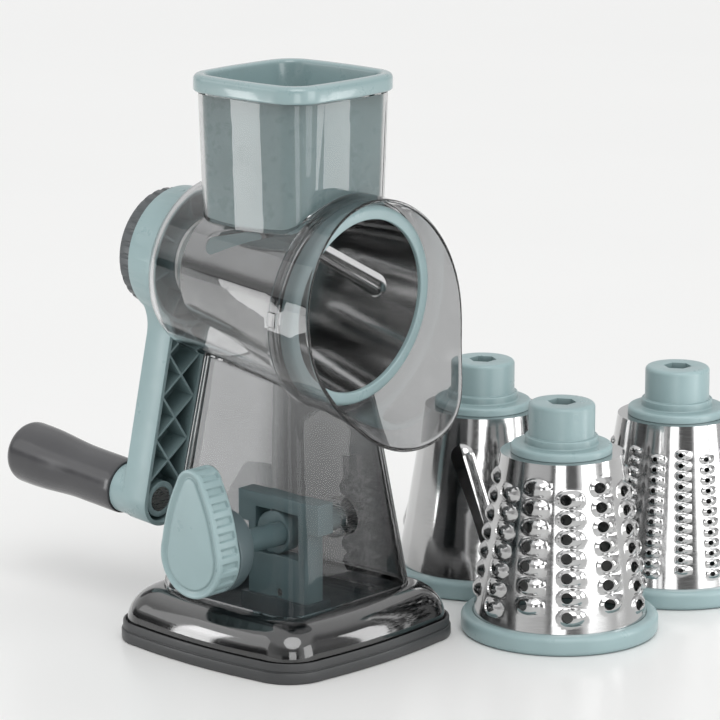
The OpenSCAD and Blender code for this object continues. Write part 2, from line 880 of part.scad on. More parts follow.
module crank_arm() color([0.5, 0.58, 0.59])
  on_axis()
    rotate([0, 0, crank_angle])
      difference() {
        union() {
          difference() {
            union() {
              crank_slab(0, crank_front_s, arm_rear_s);
              translate([0, 0, crank_front_s])
                cylinder(h = hub_t, r1 = hub_front_r, r2 = hub_rear_r);
            }
            difference() {
              crank_slab(arm_wall, crank_front_s - over, arm_rear_s - arm_skin);
              cut_cylinder(hub_front_r + seam, crank_front_s - 2 * over, arm_rear_s);
            }
            difference() {
              cut_cylinder(hub_front_r - arm_wall, crank_front_s - over, hub_web_s);
              cut_cylinder(hub_socket_r + hub_socket_wall, crank_front_s - 2 * over, hub_web_s + over);
            }
          }
          arm_ribs();
          translate([0, crank_throw, 0]) {
            cut_cylinder(boss_r, crank_front_s + arm_wall, arm_rear_s);
            cut_cylinder(grip_collar_r, arm_rear_s - arm_skin, arm_rear_s + collar_h);
          }
          hub_webs();
        }
        difference() {
          cut_cylinder(hub_socket_r, crank_front_s - over, hub_socket_s);
          rotate([0, 0, -crank_angle])
            translate([0, 0, journal_end_s - socket_l + gap])
              cylinder(h = socket_l + over, r = drive_r, $fn = 6);
        }
        cut_cylinder(stud_r + run_gap, journal_end_s - socket_l, hub_rear_s + over);
        translate([0, crank_throw, 0]) {
          cut_cylinder(axle_r + run_gap, crank_front_s - over, arm_rear_s + collar_h + over);
          cut_cylinder(axle_head_r + run_gap, crank_front_s - over, axle_seat_s);
        }
      }

axle_head_r = 6.5;
axle_head_h = 3;
axle_seat_s = crank_front_s + arm_wall + axle_head_h;

module arm_ribs()
  intersection() {
    crank_slab(arm_wall / 2, crank_front_s + arm_wall / 2, arm_rear_s - arm_skin / 2);
    for (place = rib_places)
      for (lean = [-45, 45])
        translate([0, place, (crank_front_s + arm_rear_s) / 2])
          rotate([0, 0, lean])
            cube([rib_t, 2 * arm_w, arm_t], center = true);
    difference() {
      cut_cylinder(crank_throw + over, crank_front_s, arm_rear_s);
      cut_cylinder(hub_front_r - arm_wall / 2, crank_front_s - over, arm_rear_s + over);
    }
  }

module hub_webs()
  for (i = [0:hub_ribs - 1])
    rotate([0, 0, 360 * (i + 0.5) / hub_ribs])
      translate([hub_socket_r + hub_socket_wall / 2, -rib_t / 2, crank_front_s + arm_wall])
        cube([hub_front_r - arm_wall / 2 - hub_socket_r - hub_socket_wall / 2, rib_t,
          hub_web_s - crank_front_s - arm_wall + skin]);

// Grip

module at_grip()
  on_axis()
    rotate([0, 0, crank_angle])
      translate([0, crank_throw, 0])
        children();

grip_front_s = arm_rear_s + collar_h + gap;
grip_end_s = grip_front_s + grip_l;
grip_end_round = 7;
grip_steps = 10;
grip_end_steps = 5;
grip_bulge_share = 0.78;
grip_neck_l = 3;
grip_screw_seat = 14;
grip_screw_head_r = 7;

// The grip swells from the arm to its thickest place and rounds over at its free end
function swell(u) = (1 - cos(180 * u)) / 2;

module grip() color([0.22, 0.22, 0.23])
  at_grip()
    difference() {
      translate([0, 0, grip_front_s])
        rotate_extrude()
          polygon(concat(
            [[0, 0], [grip_collar_r, 0]],
            [for (i = [0:grip_steps]) let (u = i / grip_steps)
              [grip_neck_r + (grip_r - grip_neck_r) * swell(u),
                grip_neck_l + (grip_bulge_share * grip_l - grip_neck_l) * u]],
            [for (i = [0:grip_end_steps]) let (a = 90 * i / grip_end_steps)
              [grip_r - grip_end_round * (1 - cos(a)),
                grip_l - grip_end_round * (1 - sin(a))]],
            [[0, grip_l]]
          ));
      cut_cylinder(axle_r + run_gap, grip_front_s - over, grip_end_s);
      cut_cylinder(grip_screw_head_r + gap, grip_end_s - grip_screw_seat, grip_end_s + over);
    }

axle_tip_s = grip_end_s - grip_screw_seat + gap;
grip_screw_r = 2;
grip_screw_l = 12;
grip_screw_head_h = 2.6;

module grip_axle() color("silver")
  at_grip()
    difference() {
      union() {
        cut_cylinder(axle_r, axle_seat_s, axle_tip_s);
        cut_cylinder(axle_head_r, axle_seat_s - axle_head_h, axle_seat_s);
      }
      cut_cylinder(grip_screw_r, axle_tip_s - grip_screw_l, axle_tip_s + over);
    }

module grip_screw() color("silver")
  at_grip() {
    cut_cylinder(grip_screw_head_r, axle_tip_s, axle_tip_s + grip_screw_head_h);
    cut_cylinder(grip_screw_r - run_gap, axle_tip_s - grip_screw_l + over, axle_tip_s);
  }

cap_t = 2.5;

module grip_cap() color([0.2, 0.2, 0.21])
  at_grip()
    cut_cylinder(grip_screw_head_r + gap - run_gap, grip_end_s - cap_t, grip_end_s);

// Lock knob and its stud

knob_front_s = hub_rear_s + gap;
lobe_r = 1.7;
knob_dish_r = 22;
knob_dish = 2.5;
stud_head_r = 7;

module lock_knob() color([0.3, 0.3, 0.31])
  on_axis()
    difference() {
      union() {
        cut_cylinder(knob_r, knob_front_s, knob_front_s + knob_t - hub_edge);
        translate([0, 0, knob_front_s + knob_t - hub_edge])
          cylinder(h = hub_edge, r1 = knob_r, r2 = knob_r - hub_edge);
      }
      for (i = [0:knob_lobes - 1])
        rotate([0, 0, 360 * i / knob_lobes])
          translate([knob_r + lobe_r / 2, 0, 0])
            cut_cylinder(lobe_r, knob_front_s - over, knob_front_s + knob_t + over);
      cut_cylinder(knob_dish_r, knob_front_s + knob_t - knob_dish, knob_front_s + knob_t + over);
      cut_cylinder(stud_r + run_gap, knob_front_s - over, knob_front_s + knob_t + over);
    }

module lock_stud() color("silver")
  on_axis() {
    cut_cylinder(stud_r, journal_end_s - socket_l - stud_bite + over, knob_front_s + knob_t - knob_dish);
    cut_cylinder(stud_head_r, knob_front_s + knob_t - knob_dish, knob_front_s + knob_t - skin);
  }

// Suction lever: egg knob, cam shaft, cam, yoke, pin and pad

module along_x(from, to, r)
  translate([from, 0, cam_z])
    rotate([0, 90, 0])
      cylinder(h = to - from, r = r);

wall_x = column_w(cam_z) / 2 + column_bow;
egg_face_x = wall_x + egg_stand_off;
egg_back_x = egg_face_x - egg_t;
bearing_end_t = 3;
shaft_end_x = wall_x - column_wall - bearing_end_t;
wall_lean = atan(column_taper);
egg_arc_steps = 16;
egg_lean = asin((egg_wide_r - egg_narrow_r) / egg_reach);

// The egg's outline, with the shaft at the origin and the narrow end along +Y
function egg(inset) = concat(
  [for (i = [0:egg_arc_steps]) let (a = 180 - egg_lean + (180 + 2 * egg_lean) * i / egg_arc_steps)
    (egg_wide_r - inset) * [cos(a), sin(a)]],
  [for (i = [0:egg_arc_steps]) let (a = egg_lean + (180 - 2 * egg_lean) * i / egg_arc_steps)
    [0, egg_reach] + (egg_narrow_r - inset) * [cos(a), sin(a)]]
);

module egg_slab(inset, from, to)
  translate([0, 0, from])
    linear_extrude(to - from)
      polygon(egg(inset));

// Places of the finger grooves: round the wide end, up the sides and round the narrow end
groove_r = 1.5;
groove_places = concat(
  [for (i = [0:10]) let (a = 190 + 16 * i) (egg_wide_r + groove_r / 2) * [cos(a), sin(a)]],
  [for (side = [-1, 1]) for (i = [0:5]) let (
      u = (i + 0.5) / 6,
      r = egg_wide_r + (egg_narrow_r - egg_wide_r) * u + groove_r / 2
    )
    [side * r * cos(egg_lean), r * sin(egg_lean) + egg_reach * u]],
  [for (i = [0:3]) let (a = 36 + 36 * i)
    [0, egg_reach] + (egg_narrow_r + groove_r / 2) * [cos(a), sin(a)]]
);
lip_w = 2.6;
face_groove_w = 2;
face_groove = 1.4;
egg_rim = 2.5;

module egg_knob() color([0.6, 0.66, 0.66])
  translate([-egg_back_x, 0, cam_z])
    rotate([90, 0, -90])
      difference() {
        egg_slab(0, 0, egg_t);
        difference() {
          egg_slab(lip_w, egg_t - face_groove, egg_t + over);
          egg_slab(lip_w + face_groove_w, egg_t - 2 * over, egg_t + 2 * over);
        }
        for (p = groove_places)
          translate([p[0], p[1], 0])
            cut_cylinder(groove_r, -over, egg_t - egg_rim);
        cut_cylinder(cam_shaft_r + run_gap, -over, egg_socket_l);
      }

egg_socket_l = 10;

module cam_shaft() color([0.45, 0.53, 0.54])
  along_x(-egg_back_x - egg_socket_l + run_gap, shaft_end_x, cam_shaft_r);

module lift_cam() color([0.45, 0.53, 0.54])
  difference() {
    translate([0, cam_throw, 0])
      along_x(yoke_x0 - yoke_t / 2, yoke_x0 + yoke_t / 2, cam_r);
    along_x(-yoke_t, yoke_t, cam_shaft_r + run_gap);
  }

cam_rise_gap = 0.75;
window_side_gap = 1;
window_w = 2 * (cam_r + cam_throw + window_side_gap);
window_h = 2 * (cam_r + cam_rise_gap);
yoke_low_z = 18;
yoke_head_z = 58;
tongue_t = 6;
tongue_w = 18;
tongue_top_z = 30;
pin_r = 2;
pin_z = 24;

module lift_yoke() color([0.33, 0.4, 0.41])
  difference() {
    union() {
      yoke_block(yoke_stem_w, 0, yoke_low_z, yoke_top_z);
      yoke_block(yoke_w, 0, yoke_head_z, yoke_top_z);
    }
    translate([yoke_x0 - yoke_t, -window_w / 2, cam_z - window_h / 2])
      cube([2 * yoke_t, window_w, window_h]);
    translate([yoke_x0 - tongue_t / 2 - seam, -tongue_w / 2 - seam, yoke_low_z - over])
      cube([tongue_t + 2 * seam, tongue_w + 2 * seam, tongue_top_z + seam - yoke_low_z + over]);
    pin_bore(run_gap, over);
  }

module pin_bore(grow, extra)
  translate([yoke_x0 - yoke_t / 2 - extra, 0, pin_z])
    rotate([0, 90, 0])
      cylinder(h = yoke_t + 2 * extra, r = pin_r + grow);

module lift_pin() color("silver")
  pin_bore(0, 0);

pad_t = 2.6;
pad_hub_r = 12;
pad_hub_h = plate_z - pad_t - cam_throw - gap;

module suction_pad() color([0.13, 0.13, 0.14])
  difference() {
    union() {
      cut_cylinder(pad_r, 0, pad_t);
      translate([0, 0, pad_t])
        cylinder(h = pad_hub_h, r1 = pad_hub_r, r2 = tongue_t);
      translate([yoke_x0 - tongue_t / 2, -tongue_w / 2, pad_t])
        cube([tongue_t, tongue_w, tongue_top_z - pad_t]);
    }
    pin_bore(run_gap, over);
  }

seat_r = 20.6;
seat_bore_r = cam_shaft_r + run_gap;

// Seat and bearing are cut to the column's leaning walls
module wall_cut(side, x)
  translate([side * x, 0, cam_z])
    rotate([0, -side * wall_lean, 0])
      translate([side > 0 ? 0 : -column_foot_w, -column_foot_w / 2, -column_foot_w / 2])
        cube([column_foot_w, column_foot_w, column_foot_w]);

module knob_seat() color([0.2, 0.2, 0.21])
  intersection() {
    difference() {
      along_x(-egg_back_x + gap, -wall_x + seat_r, seat_r);
      along_x(-egg_back_x, 0, seat_bore_r);
    }
    wall_cut(-1, wall_x + seam);
  }

bearing_r = 10.5;
bearing_l = 9;

module shaft_bearing() color([0.75, 0.75, 0.76])
  difference() {
    along_x(shaft_end_x + bearing_end_t - bearing_l, wall_x, bearing_r);
    along_x(shaft_end_x - bearing_l, shaft_end_x + seam, cam_shaft_r + run_gap);
    wall_cut(1, wall_x - column_wall - seam);
  }

base_foot();
base_plate();
base_screws();
stand_skirt();
stand_column();
drum_barrel();
feed_chute();
journal_bush();
front_guard();
food_pusher();
suction_pad();
lift_pin();
lift_yoke();
cam_shaft();
lift_cam();
egg_knob();
knob_seat();
shaft_bearing();
crank_arm();
grip_axle();
grip();
grip_screw();
grip_cap();
lock_stud();
lock_knob();
mounted_drum_cone();
mounted_drum_ring();
mounted_drum_hub();
slicing_drum_cone();
slicing_drum_ring();
slicing_drum_hub();
coarse_drum_cone();
coarse_drum_ring();
coarse_drum_hub();
fine_drum_cone();
fine_drum_ring();
fine_drum_hub();
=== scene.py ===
import json
import math

import bmesh
import bpy
from mathutils import Matrix, Vector


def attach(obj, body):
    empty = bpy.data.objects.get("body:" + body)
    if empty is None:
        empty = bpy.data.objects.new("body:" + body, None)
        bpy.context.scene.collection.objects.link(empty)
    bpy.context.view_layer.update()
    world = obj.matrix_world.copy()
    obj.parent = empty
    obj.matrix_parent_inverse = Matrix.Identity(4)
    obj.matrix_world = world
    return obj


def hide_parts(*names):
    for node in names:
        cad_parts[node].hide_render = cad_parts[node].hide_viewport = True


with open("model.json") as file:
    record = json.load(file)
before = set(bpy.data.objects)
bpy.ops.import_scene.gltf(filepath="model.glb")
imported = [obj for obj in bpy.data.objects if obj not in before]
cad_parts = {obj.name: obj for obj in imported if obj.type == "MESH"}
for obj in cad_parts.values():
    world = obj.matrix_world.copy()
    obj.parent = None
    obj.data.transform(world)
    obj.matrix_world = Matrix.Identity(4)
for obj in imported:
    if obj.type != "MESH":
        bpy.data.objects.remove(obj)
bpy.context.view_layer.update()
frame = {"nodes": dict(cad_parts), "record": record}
nodes = frame["nodes"]

MM = 0.001
TAU = 2 * math.pi


def clamp(v, lo=0.0, hi=1.0):
    return max(lo, min(hi, v))


def srgb(r, g, b):
    """A linear colour from 0-255 display values."""
    out = []
    for c in (r, g, b):
        c /= 255.0
        out.append(c / 12.92 if c <= 0.04045 else ((c + 0.055) / 1.055) ** 2.4)
    return (*out, 1.0)


# ---------------------------------------------------------------- camera
camera_data = bpy.data.cameras.new("view")
camera_data.sensor_width = 36.0
camera_data.sensor_fit = "HORIZONTAL"
camera_data.lens = 3830.17 * 36.0 / 720.0
camera_data.clip_end = 60.0
camera = bpy.data.objects.new("view", camera_data)
bpy.context.scene.collection.objects.link(camera)
camera.location = (-1.3573, -1.2873, 0.5759)
look = Vector((0.720, 0.656, -0.225)).normalized()
pitch = math.asin(-look.z)
heading = math.atan2(-look.x, look.y)
camera.rotation_euler = (math.radians(90) - pitch, 0.0, heading)
bpy.context.scene.camera = camera


# ---------------------------------------------------------------- node helpers
class Nodes:
    """A small writer for one material's node tree."""

    def __init__(self, tree):
        self.tree = tree
        self.n = tree.nodes
        self.n.clear()

    def add(self, kind, **values):
        node = self.n.new(kind)
        for key, value in values.items():
            setattr(node, key, value)
        return node

    def link(self, a, b):
        self.tree.links.new(a, b)

    def noise(self, vector, scale, detail=3.0, rough=0.55, stretch=None):
        if stretch:
            mapping = self.add("ShaderNodeMapping")
            mapping.inputs["Scale"].default_value = stretch
            self.link(vector, mapping.inputs["Vector"])
            vector = mapping.outputs["Vector"]
        node = self.add("ShaderNodeTexNoise")
        node.inputs["Scale"].default_value = scale
        node.inputs["Detail"].default_value = detail
        node.inputs["Roughness"].default_value = rough
        self.link(vector, node.inputs["Vector"])
        return node.outputs["Fac"]

    def span(self, value, lo, hi, src=(0.3, 0.7)):
        node = self.add("ShaderNodeMapRange")
        node.inputs["From Min"].default_value = src[0]
        node.inputs["From Max"].default_value = src[1]
        node.inputs["To Min"].default_value = lo
        node.inputs["To Max"].default_value = hi
        self.link(value, node.inputs["Value"])
        return node.outputs["Result"]

    def ramp(self, value, stops, mode="LINEAR"):
        node = self.add("ShaderNodeValToRGB")
        node.color_ramp.interpolation = mode
        band = node.color_ramp.elements
        while len(band) < len(stops):
            band.new(0.5)
        for element, (place, colour) in zip(band, stops):
            element.position = place
        for element, (place, colour) in zip(band, stops):
            element.color = colour
        self.link(value, node.inputs["Fac"])
        return node.outputs["Color"]

    def bump(self, height, strength, distance, below=None):
        node = self.add("ShaderNodeBump")
        node.inputs["Strength"].default_value = strength
        node.inputs["Distance"].default_value = distance
        self.link(height, node.inputs["Height"])
        if below is not None:
            self.link(below, node.inputs["Normal"])
        return node.outputs["Normal"]


def material(name):
    mat = bpy.data.materials.new(name)
    mat.use_nodes = True
    w = Nodes(mat.node_tree)
    out = w.add("ShaderNodeOutputMaterial")
    shader = w.add("ShaderNodeBsdfPrincipled")
    w.link(shader.outputs["BSDF"], out.inputs["Surface"])
    coord = w.add("ShaderNodeTexCoord").outputs["Object"]
    return mat, w, shader, out, coord


def moulded(name, colour, roughness=0.35, vary=0.06, grain=0.25, grain_scale=2200.0,
            smudge=0.08, ior=1.5, gloss=0.0):
    """Opaque injection-moulded plastic: faint flow shading, fine texture, handled patches, and painted
    shade in its own hollows.
    """
    mat, w, shader, out, coord = material(name)
    flow = w.noise(coord, 28.0, 3.0)
    dark = [c * (1 - vary) for c in colour[:3]] + [1.0]
    light = [min(1.0, c * (1 + vary)) for c in colour[:3]] + [1.0]
    tone = w.ramp(flow, [(0.3, dark), (0.7, light)])
    # painted shade: the part's own ambient occlusion darkens the base colour in corners, pockets and
    # creases, where shade falls
    corners = w.add("ShaderNodeAmbientOcclusion")
    corners.samples = 6
    corners.only_local = True
    corners.inputs["Distance"].default_value = 0.016
    hollow_painted_shade = w.ramp(corners.outputs["AO"], [(0.25, (0.42, 0.46, 0.46, 1.0)), (0.9, (1.0, 1.0, 1.0, 1.0))])
    hollow_painted_shade_mix = w.add("ShaderNodeMix", data_type="RGBA", blend_type="MULTIPLY")
    hollow_painted_shade_mix.inputs["Factor"].default_value = 1.0
    w.link(tone, hollow_painted_shade_mix.inputs[6])
    w.link(hollow_painted_shade, hollow_painted_shade_mix.inputs[7])
    w.link(hollow_painted_shade_mix.outputs[2], shader.inputs["Base Color"])
    marks = w.noise(coord, 90.0, 5.0, 0.65)
    w.link(w.span(marks, roughness - smudge, roughness + smudge), shader.inputs["Roughness"])
    fine = w.noise(coord, grain_scale, 2.0)
    wave = w.noise(coord, 60.0, 2.0)
    first = w.bump(fine, grain, 0.00004)
    w.link(w.bump(wave, 0.12, 0.0004, first), shader.inputs["Normal"])
    shader.inputs["IOR"].default_value = ior
    if gloss:
        shader.inputs["Coat Weight"].default_value = gloss
        shader.inputs["Coat Roughness"].default_value = 0.1
    return mat


def clear(name, colour, roughness=0.02, tint=None, ior=1.49, wave_strength=0.10, coat=0.0, painted_side_shade=None):
    """Clear tinted plastic, solid-walled; lamps shine through it; an optional painted shade darkens the
    tint along X.
    """
    mat, w, shader, out, coord = material(name)
    flow = w.noise(coord, 22.0, 2.0)
    dark = [c * 0.97 for c in colour[:3]] + [1.0]
    light = [min(1.0, c * 1.03) for c in colour[:3]] + [1.0]
    tone = w.ramp(flow, [(0.3, dark), (0.7, light)])
    # painted shade: the tint is multiplied down along object X, so one side of the part reads darker, as
    # if less lit
    if painted_side_shade:
        start, stop, factor = painted_side_shade
        across = w.add("ShaderNodeSeparateXYZ")
        w.link(coord, across.inputs["Vector"])
        painted_side_shade_mix = w.add("ShaderNodeMix", data_type="RGBA", blend_type="MULTIPLY")
        painted_side_shade_mix.inputs[7].default_value = (factor, factor, factor, 1.0)
        slope = w.add("ShaderNodeMapRange")
        slope.interpolation_type = "SMOOTHSTEP"
        slope.inputs["From Min"].default_value = start
        slope.inputs["From Max"].default_value = stop
        w.link(across.outputs["X"], slope.inputs["Value"])
        w.link(slope.outputs["Result"], painted_side_shade_mix.inputs["Factor"])
        w.link(tone, painted_side_shade_mix.inputs[6])
        tone = painted_side_shade_mix.outputs[2]
    w.link(tone, shader.inputs["Base Color"])
    marks = w.noise(coord, 120.0, 5.0, 0.65)
    w.link(w.span(marks, roughness * 0.6, roughness * 1.6), shader.inputs["Roughness"])
    wave = w.noise(coord, 45.0, 2.0)
    w.link(w.bump(wave, wave_strength, 0.0006), shader.inputs["Normal"])
    shader.inputs["Transmission Weight"].default_value = 1.0
    shader.inputs["IOR"].default_value = ior
    if coat:
        shader.inputs["Coat Weight"].default_value = 1.0
        shader.inputs["Coat Roughness"].default_value = roughness
        shader.inputs["Coat IOR"].default_value = coat
    through = w.add("ShaderNodeBsdfTransparent")
    t = tint or colour
    through.inputs["Color"].default_value = (*[c ** 0.5 for c in t[:3]], 1.0)
    path = w.add("ShaderNodeLightPath")
    mix = w.add("ShaderNodeMixShader")
    w.link(path.outputs["Is Shadow Ray"], mix.inputs["Fac"])
    w.link(shader.outputs["BSDF"], mix.inputs[1])
    w.link(through.outputs["BSDF"], mix.inputs[2])
    w.link(mix.outputs["Shader"], out.inputs["Surface"])
    return mat


def steel(name, colour, roughness=0.2, brush=(1.0, 1.0, 14.0), brush_strength=0.06):
    """Bright rolled sheet or turned steel with faint working lines."""
    mat, w, shader, out, coord = material(name)
    shader.inputs["Metallic"].default_value = 1.0
    tone = w.noise(coord, 40.0, 4.0)
    dark = [c * 0.93 for c in colour[:3]] + [1.0]
    light = [min(1.0, c * 1.04) for c in colour[:3]] + [1.0]
    w.link(w.ramp(tone, [(0.3, dark), (0.7, light)]), shader.inputs["Base Color"])
    lines = w.noise(coord, 160.0, 3.0, 0.6, brush)
    w.link(w.span(lines, roughness * 0.75, roughness * 1.3), shader.inputs["Roughness"])
    fine = w.bump(lines, brush_strength, 0.00005)
    dents = w.noise(coord, 70.0, 2.0)
    w.link(w.bump(dents, 0.06, 0.0006, fine), shader.inputs["Normal"])
    return mat


# ---------------------------------------------------------------- materials
teal = moulded("teal_plastic", srgb(143, 165, 167), 0.33)
pusher_teal = moulded("pusher_plastic", srgb(137, 160, 162), 0.3, gloss=0.8)
deep_teal = moulded("deep_teal_plastic", srgb(122, 146, 149), 0.36)
knob_grey = moulded("knob_plastic", srgb(78, 82, 84), 0.34)
seat_grey = moulded("seat_plastic", srgb(84, 98, 101), 0.34)
dark = moulded("dark_plastic", srgb(70, 84, 88), 0.34)
rubber = moulded("foot_rubber", srgb(60, 61, 62), 0.42, grain=0.5)
soft = moulded("soft_rubber", srgb(58, 60, 61), 0.6, grain=0.6)
grip_black = moulded("grip_plastic", srgb(66, 66, 68), 0.2)
white = moulded("white_plastic", srgb(232, 233, 231), 0.4)
# the column's tint carries painted shade, getting darker towards its +X side
smoke = clear("smoke_plastic", (0.60, 0.605, 0.61, 1.0), ior=1.22, painted_side_shade=(0.014, 0.044, 0.3))
barrel_clear = clear("barrel_plastic", (0.74, 0.745, 0.75, 1.0))
chute_clear = clear("chute_plastic", (0.68, 0.69, 0.69, 1.0), ior=1.46)
skirt_smoke = clear("skirt_plastic", (0.07, 0.072, 0.075, 1.0), roughness=0.08, ior=1.6, coat=1.6)
clear_mat = clear("clear_plastic", (0.62, 0.63, 0.63, 1.0))
guard_clear = clear("guard_plastic", (0.47, 0.475, 0.48, 1.0))
screw = steel("screw_steel", (0.62, 0.62, 0.6, 1.0), 0.28)
bearing = steel("bearing_metal", (0.66, 0.66, 0.65, 1.0), 0.25)
sheet = steel("polished_steel", (0.56, 0.56, 0.56, 1.0), 0.12)

slots = {
    "foot_rubber": rubber, "dark_plastic": dark, "screw_steel": screw, "smoke_plastic": skirt_smoke,
    "clear_plastic": smoke, "white_plastic": white, "teal_plastic": teal,
    "deep_teal_plastic": deep_teal, "soft_rubber": soft, "bearing_metal": bearing,
    "grip_plastic": grip_black, "polished_steel": sheet,
}


# ---------------------------------------------------------------- mesh helpers
TILT = math.radians(5)
AXIS = Matrix.Translation((0, 0, 0.1832)) @ Matrix.Rotation(math.radians(-85), 4, "X")


def write_mesh(name, verts, faces, scale=MM, matrix=None):
    mesh = bpy.data.meshes.new(name)
    points = [Vector(v) * scale for v in verts]
    if matrix is not None:
        points = [matrix @ p for p in points]
    mesh.from_pydata(points, [], faces)
    bm = bmesh.new()
    bm.from_mesh(mesh)
    bmesh.ops.remove_doubles(bm, verts=bm.verts, dist=1e-7)
    bmesh.ops.recalc_face_normals(bm, faces=bm.faces)
    bm.to_mesh(mesh)
    bm.free()
    return mesh


def link(name, mesh):
    obj = bpy.data.objects.new(name, mesh)
    bpy.context.scene.collection.objects.link(obj)
    return obj


def settle(obj, angle=32.0):
    """Apply the modifiers and smooth everything below the angle."""
    graph = bpy.context.evaluated_depsgraph_get()
    graph.update()
    mesh = bpy.data.meshes.new_from_object(obj.evaluated_get(graph))
    obj.modifiers.clear()
    old = obj.data
    obj.data = mesh
    mesh.name = obj.name
    bpy.data.meshes.remove(old)
    mesh.polygons.foreach_set("use_smooth", [True] * len(mesh.polygons))
    mesh.set_sharp_from_angle(angle=math.radians(angle))
    return obj


def dress(obj, mat, body, slot, *replaced):
    obj.data.materials.clear()
    obj.data.materials.append(mat)
    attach(obj, body)
    if replaced:
        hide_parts(*replaced)
    return obj


def strips(rings, closed_loop=False, caps=(True, True), cyclic=True):
    """Quads between rings of equal length; ends capped with one face each."""
    n = len(rings[0])
    verts = [p for ring in rings for p in ring]
    faces = []
    m = len(rings)
    for j in range(m if closed_loop else m - 1):
        k = (j + 1) % m
        for i in range(n if cyclic else n - 1):
            h = (i + 1) % n
            faces.append((j * n + i, j * n + h, k * n + h, k * n + i))
    if not closed_loop:
        if caps[0]:
            faces.append(tuple(range(n)))
        if caps[1]:
            faces.append(tuple((m - 1) * n + i for i in range(n)))
    return verts, faces


def lathe(profile, segments=96, closed=True):
    """Turn (radius, s) round the local Z axis; closed profiles make a ring or tube."""
    verts, faces, rows = [], [], []
    for r, z in profile:
        if abs(r) < 1e-6:
            rows.append([len(verts)] * segments)
            verts.append((0.0, 0.0, z))
        else:
            rows.append(list(range(len(verts), len(verts) + segments)))
            verts += [(r * math.cos(TAU * i / segments), r * math.sin(TAU * i / segments), z)
                      for i in range(segments)]
    count = len(rows) if closed else len(rows) - 1
    for j in range(count):
        a, b = rows[j], rows[(j + 1) % len(rows)]
        for i in range(segments):
            h = (i + 1) % segments
            face = []
            for v in (a[i], a[h], b[h], b[i]):
                if v not in face:
                    face.append(v)
            if len(face) > 2:
                faces.append(tuple(face))
    return verts, faces


def rounded(points, radius=0.8, steps=4):
    """Round the corners of an open (r, z) profile; a point may carry its own radius."""
    out = [tuple(points[0][:2])]
    for a, b, c in zip(points, points[1:], points[2:]):
        rad = b[2] if len(b) > 2 else radius
        pa, pb, pc = Vector(a[:2]), Vector(b[:2]), Vector(c[:2])
        u, v = (pa - pb), (pc - pb)
        if rad <= 0 or u.length < 1e-6 or v.length < 1e-6:
            out.append(tuple(pb))
            continue
        angle = u.angle(v)
        if abs(math.pi - angle) < 0.03:
            out.append(tuple(pb))
            continue
        cut = min(rad / math.tan(angle / 2), u.length * 0.49, v.length * 0.49)
        rad = cut * math.tan(angle / 2)
        p0 = pb + u.normalized() * cut
        p1 = pb + v.normalized() * cut
        centre = pb + (u.normalized() + v.normalized()).normalized() * (rad / math.sin(angle / 2))
        d0, d1 = p0 - centre, p1 - centre
        sweep = d0.angle(d1)
        sign = 1 if d0.x * d1.y - d0.y * d1.x > 0 else -1
        base = math.atan2(d0.y, d0.x)
        for i in range(steps + 1):
            t = base + sign * sweep * i / steps
            out.append((centre.x + rad * math.cos(t), centre.y + rad * math.sin(t)))
    out.append(tuple(points[-1][:2]))
    return out


def outline(w, r, bow, corner=12, side=10):
    """A rounded square with bowed sides."""
    half = w / 2 - r
    points = []
    for k in range(4):
        sx = 1 if k in (0, 3) else -1
        sy = 1 if k < 2 else -1
        for i in range(corner + 1):
            a = math.radians(90 * (k + i / corner))
            points.append((sx * half + r * math.cos(a), sy * half + r * math.sin(a)))
        a1 = math.radians(90 * (k + 1))
        run = 2 * half
        for i in range(1, side):
            u = i / side
            b = r + 4 * bow * u * (1 - u)
            points.append((sx * half + b * math.cos(a1) - run * u * math.sin(a1),
                           sy * half + b * math.sin(a1) + run * u * math.cos(a1)))
    return points


def square_loft(levels, corner=12, side=10, dy=0.0, **more):
    """levels: (width, corner radius, bow, z) from one end to the other."""
    rings = [[(x, y + dy, z) for x, y in outline(w, max(r, 0.2), bow, corner, side)]
             for w, r, bow, z in levels]
    return strips(rings, **more)


def cut(obj, verts, faces, operation="DIFFERENCE", matrix=None):
    tool = link(obj.name + "_tool", write_mesh(obj.name + "_tool", verts, faces, matrix=matrix))
    mod = obj.modifiers.new("cut", "BOOLEAN")
    mod.operation = operation
    mod.solver = "EXACT"
    mod.object = tool
    graph = bpy.context.evaluated_depsgraph_get()
    graph.update()
    mesh = bpy.data.meshes.new_from_object(obj.evaluated_get(graph))
    obj.modifiers.clear()
    old = obj.data
    obj.data = mesh
    bpy.data.meshes.remove(old)
    data = tool.data
    bpy.data.objects.remove(tool)
    bpy.data.meshes.remove(data)
    return obj


def soften(obj, width, segments=2, limit=38.0):
    """Round every sharp edge a little, as a mould does."""
    mod = obj.modifiers.new("edge", "BEVEL")
    mod.width = width
    mod.segments = segments
    mod.limit_method = "ANGLE"
    mod.angle_limit = math.radians(limit)
    mod.harden_normals = False
    return obj


# ---------------------------------------------------------------- CAD nodes that keep their shape
for entry in frame["record"]["subparts"]:
    obj = nodes[entry["node"]]
    obj.data.materials.clear()
    obj.data.materials.append(slots[entry["material_slot"]])
    for poly in obj.data.polygons:
        poly.use_smooth = True


# ---------------------------------------------------------------- base: foot, skirt and column
BASE_W, BASE_R, BASE_BOW = 132.0, 23.0, 2.9
COLUMN_W, COLUMN_R = 96.0, 14.0


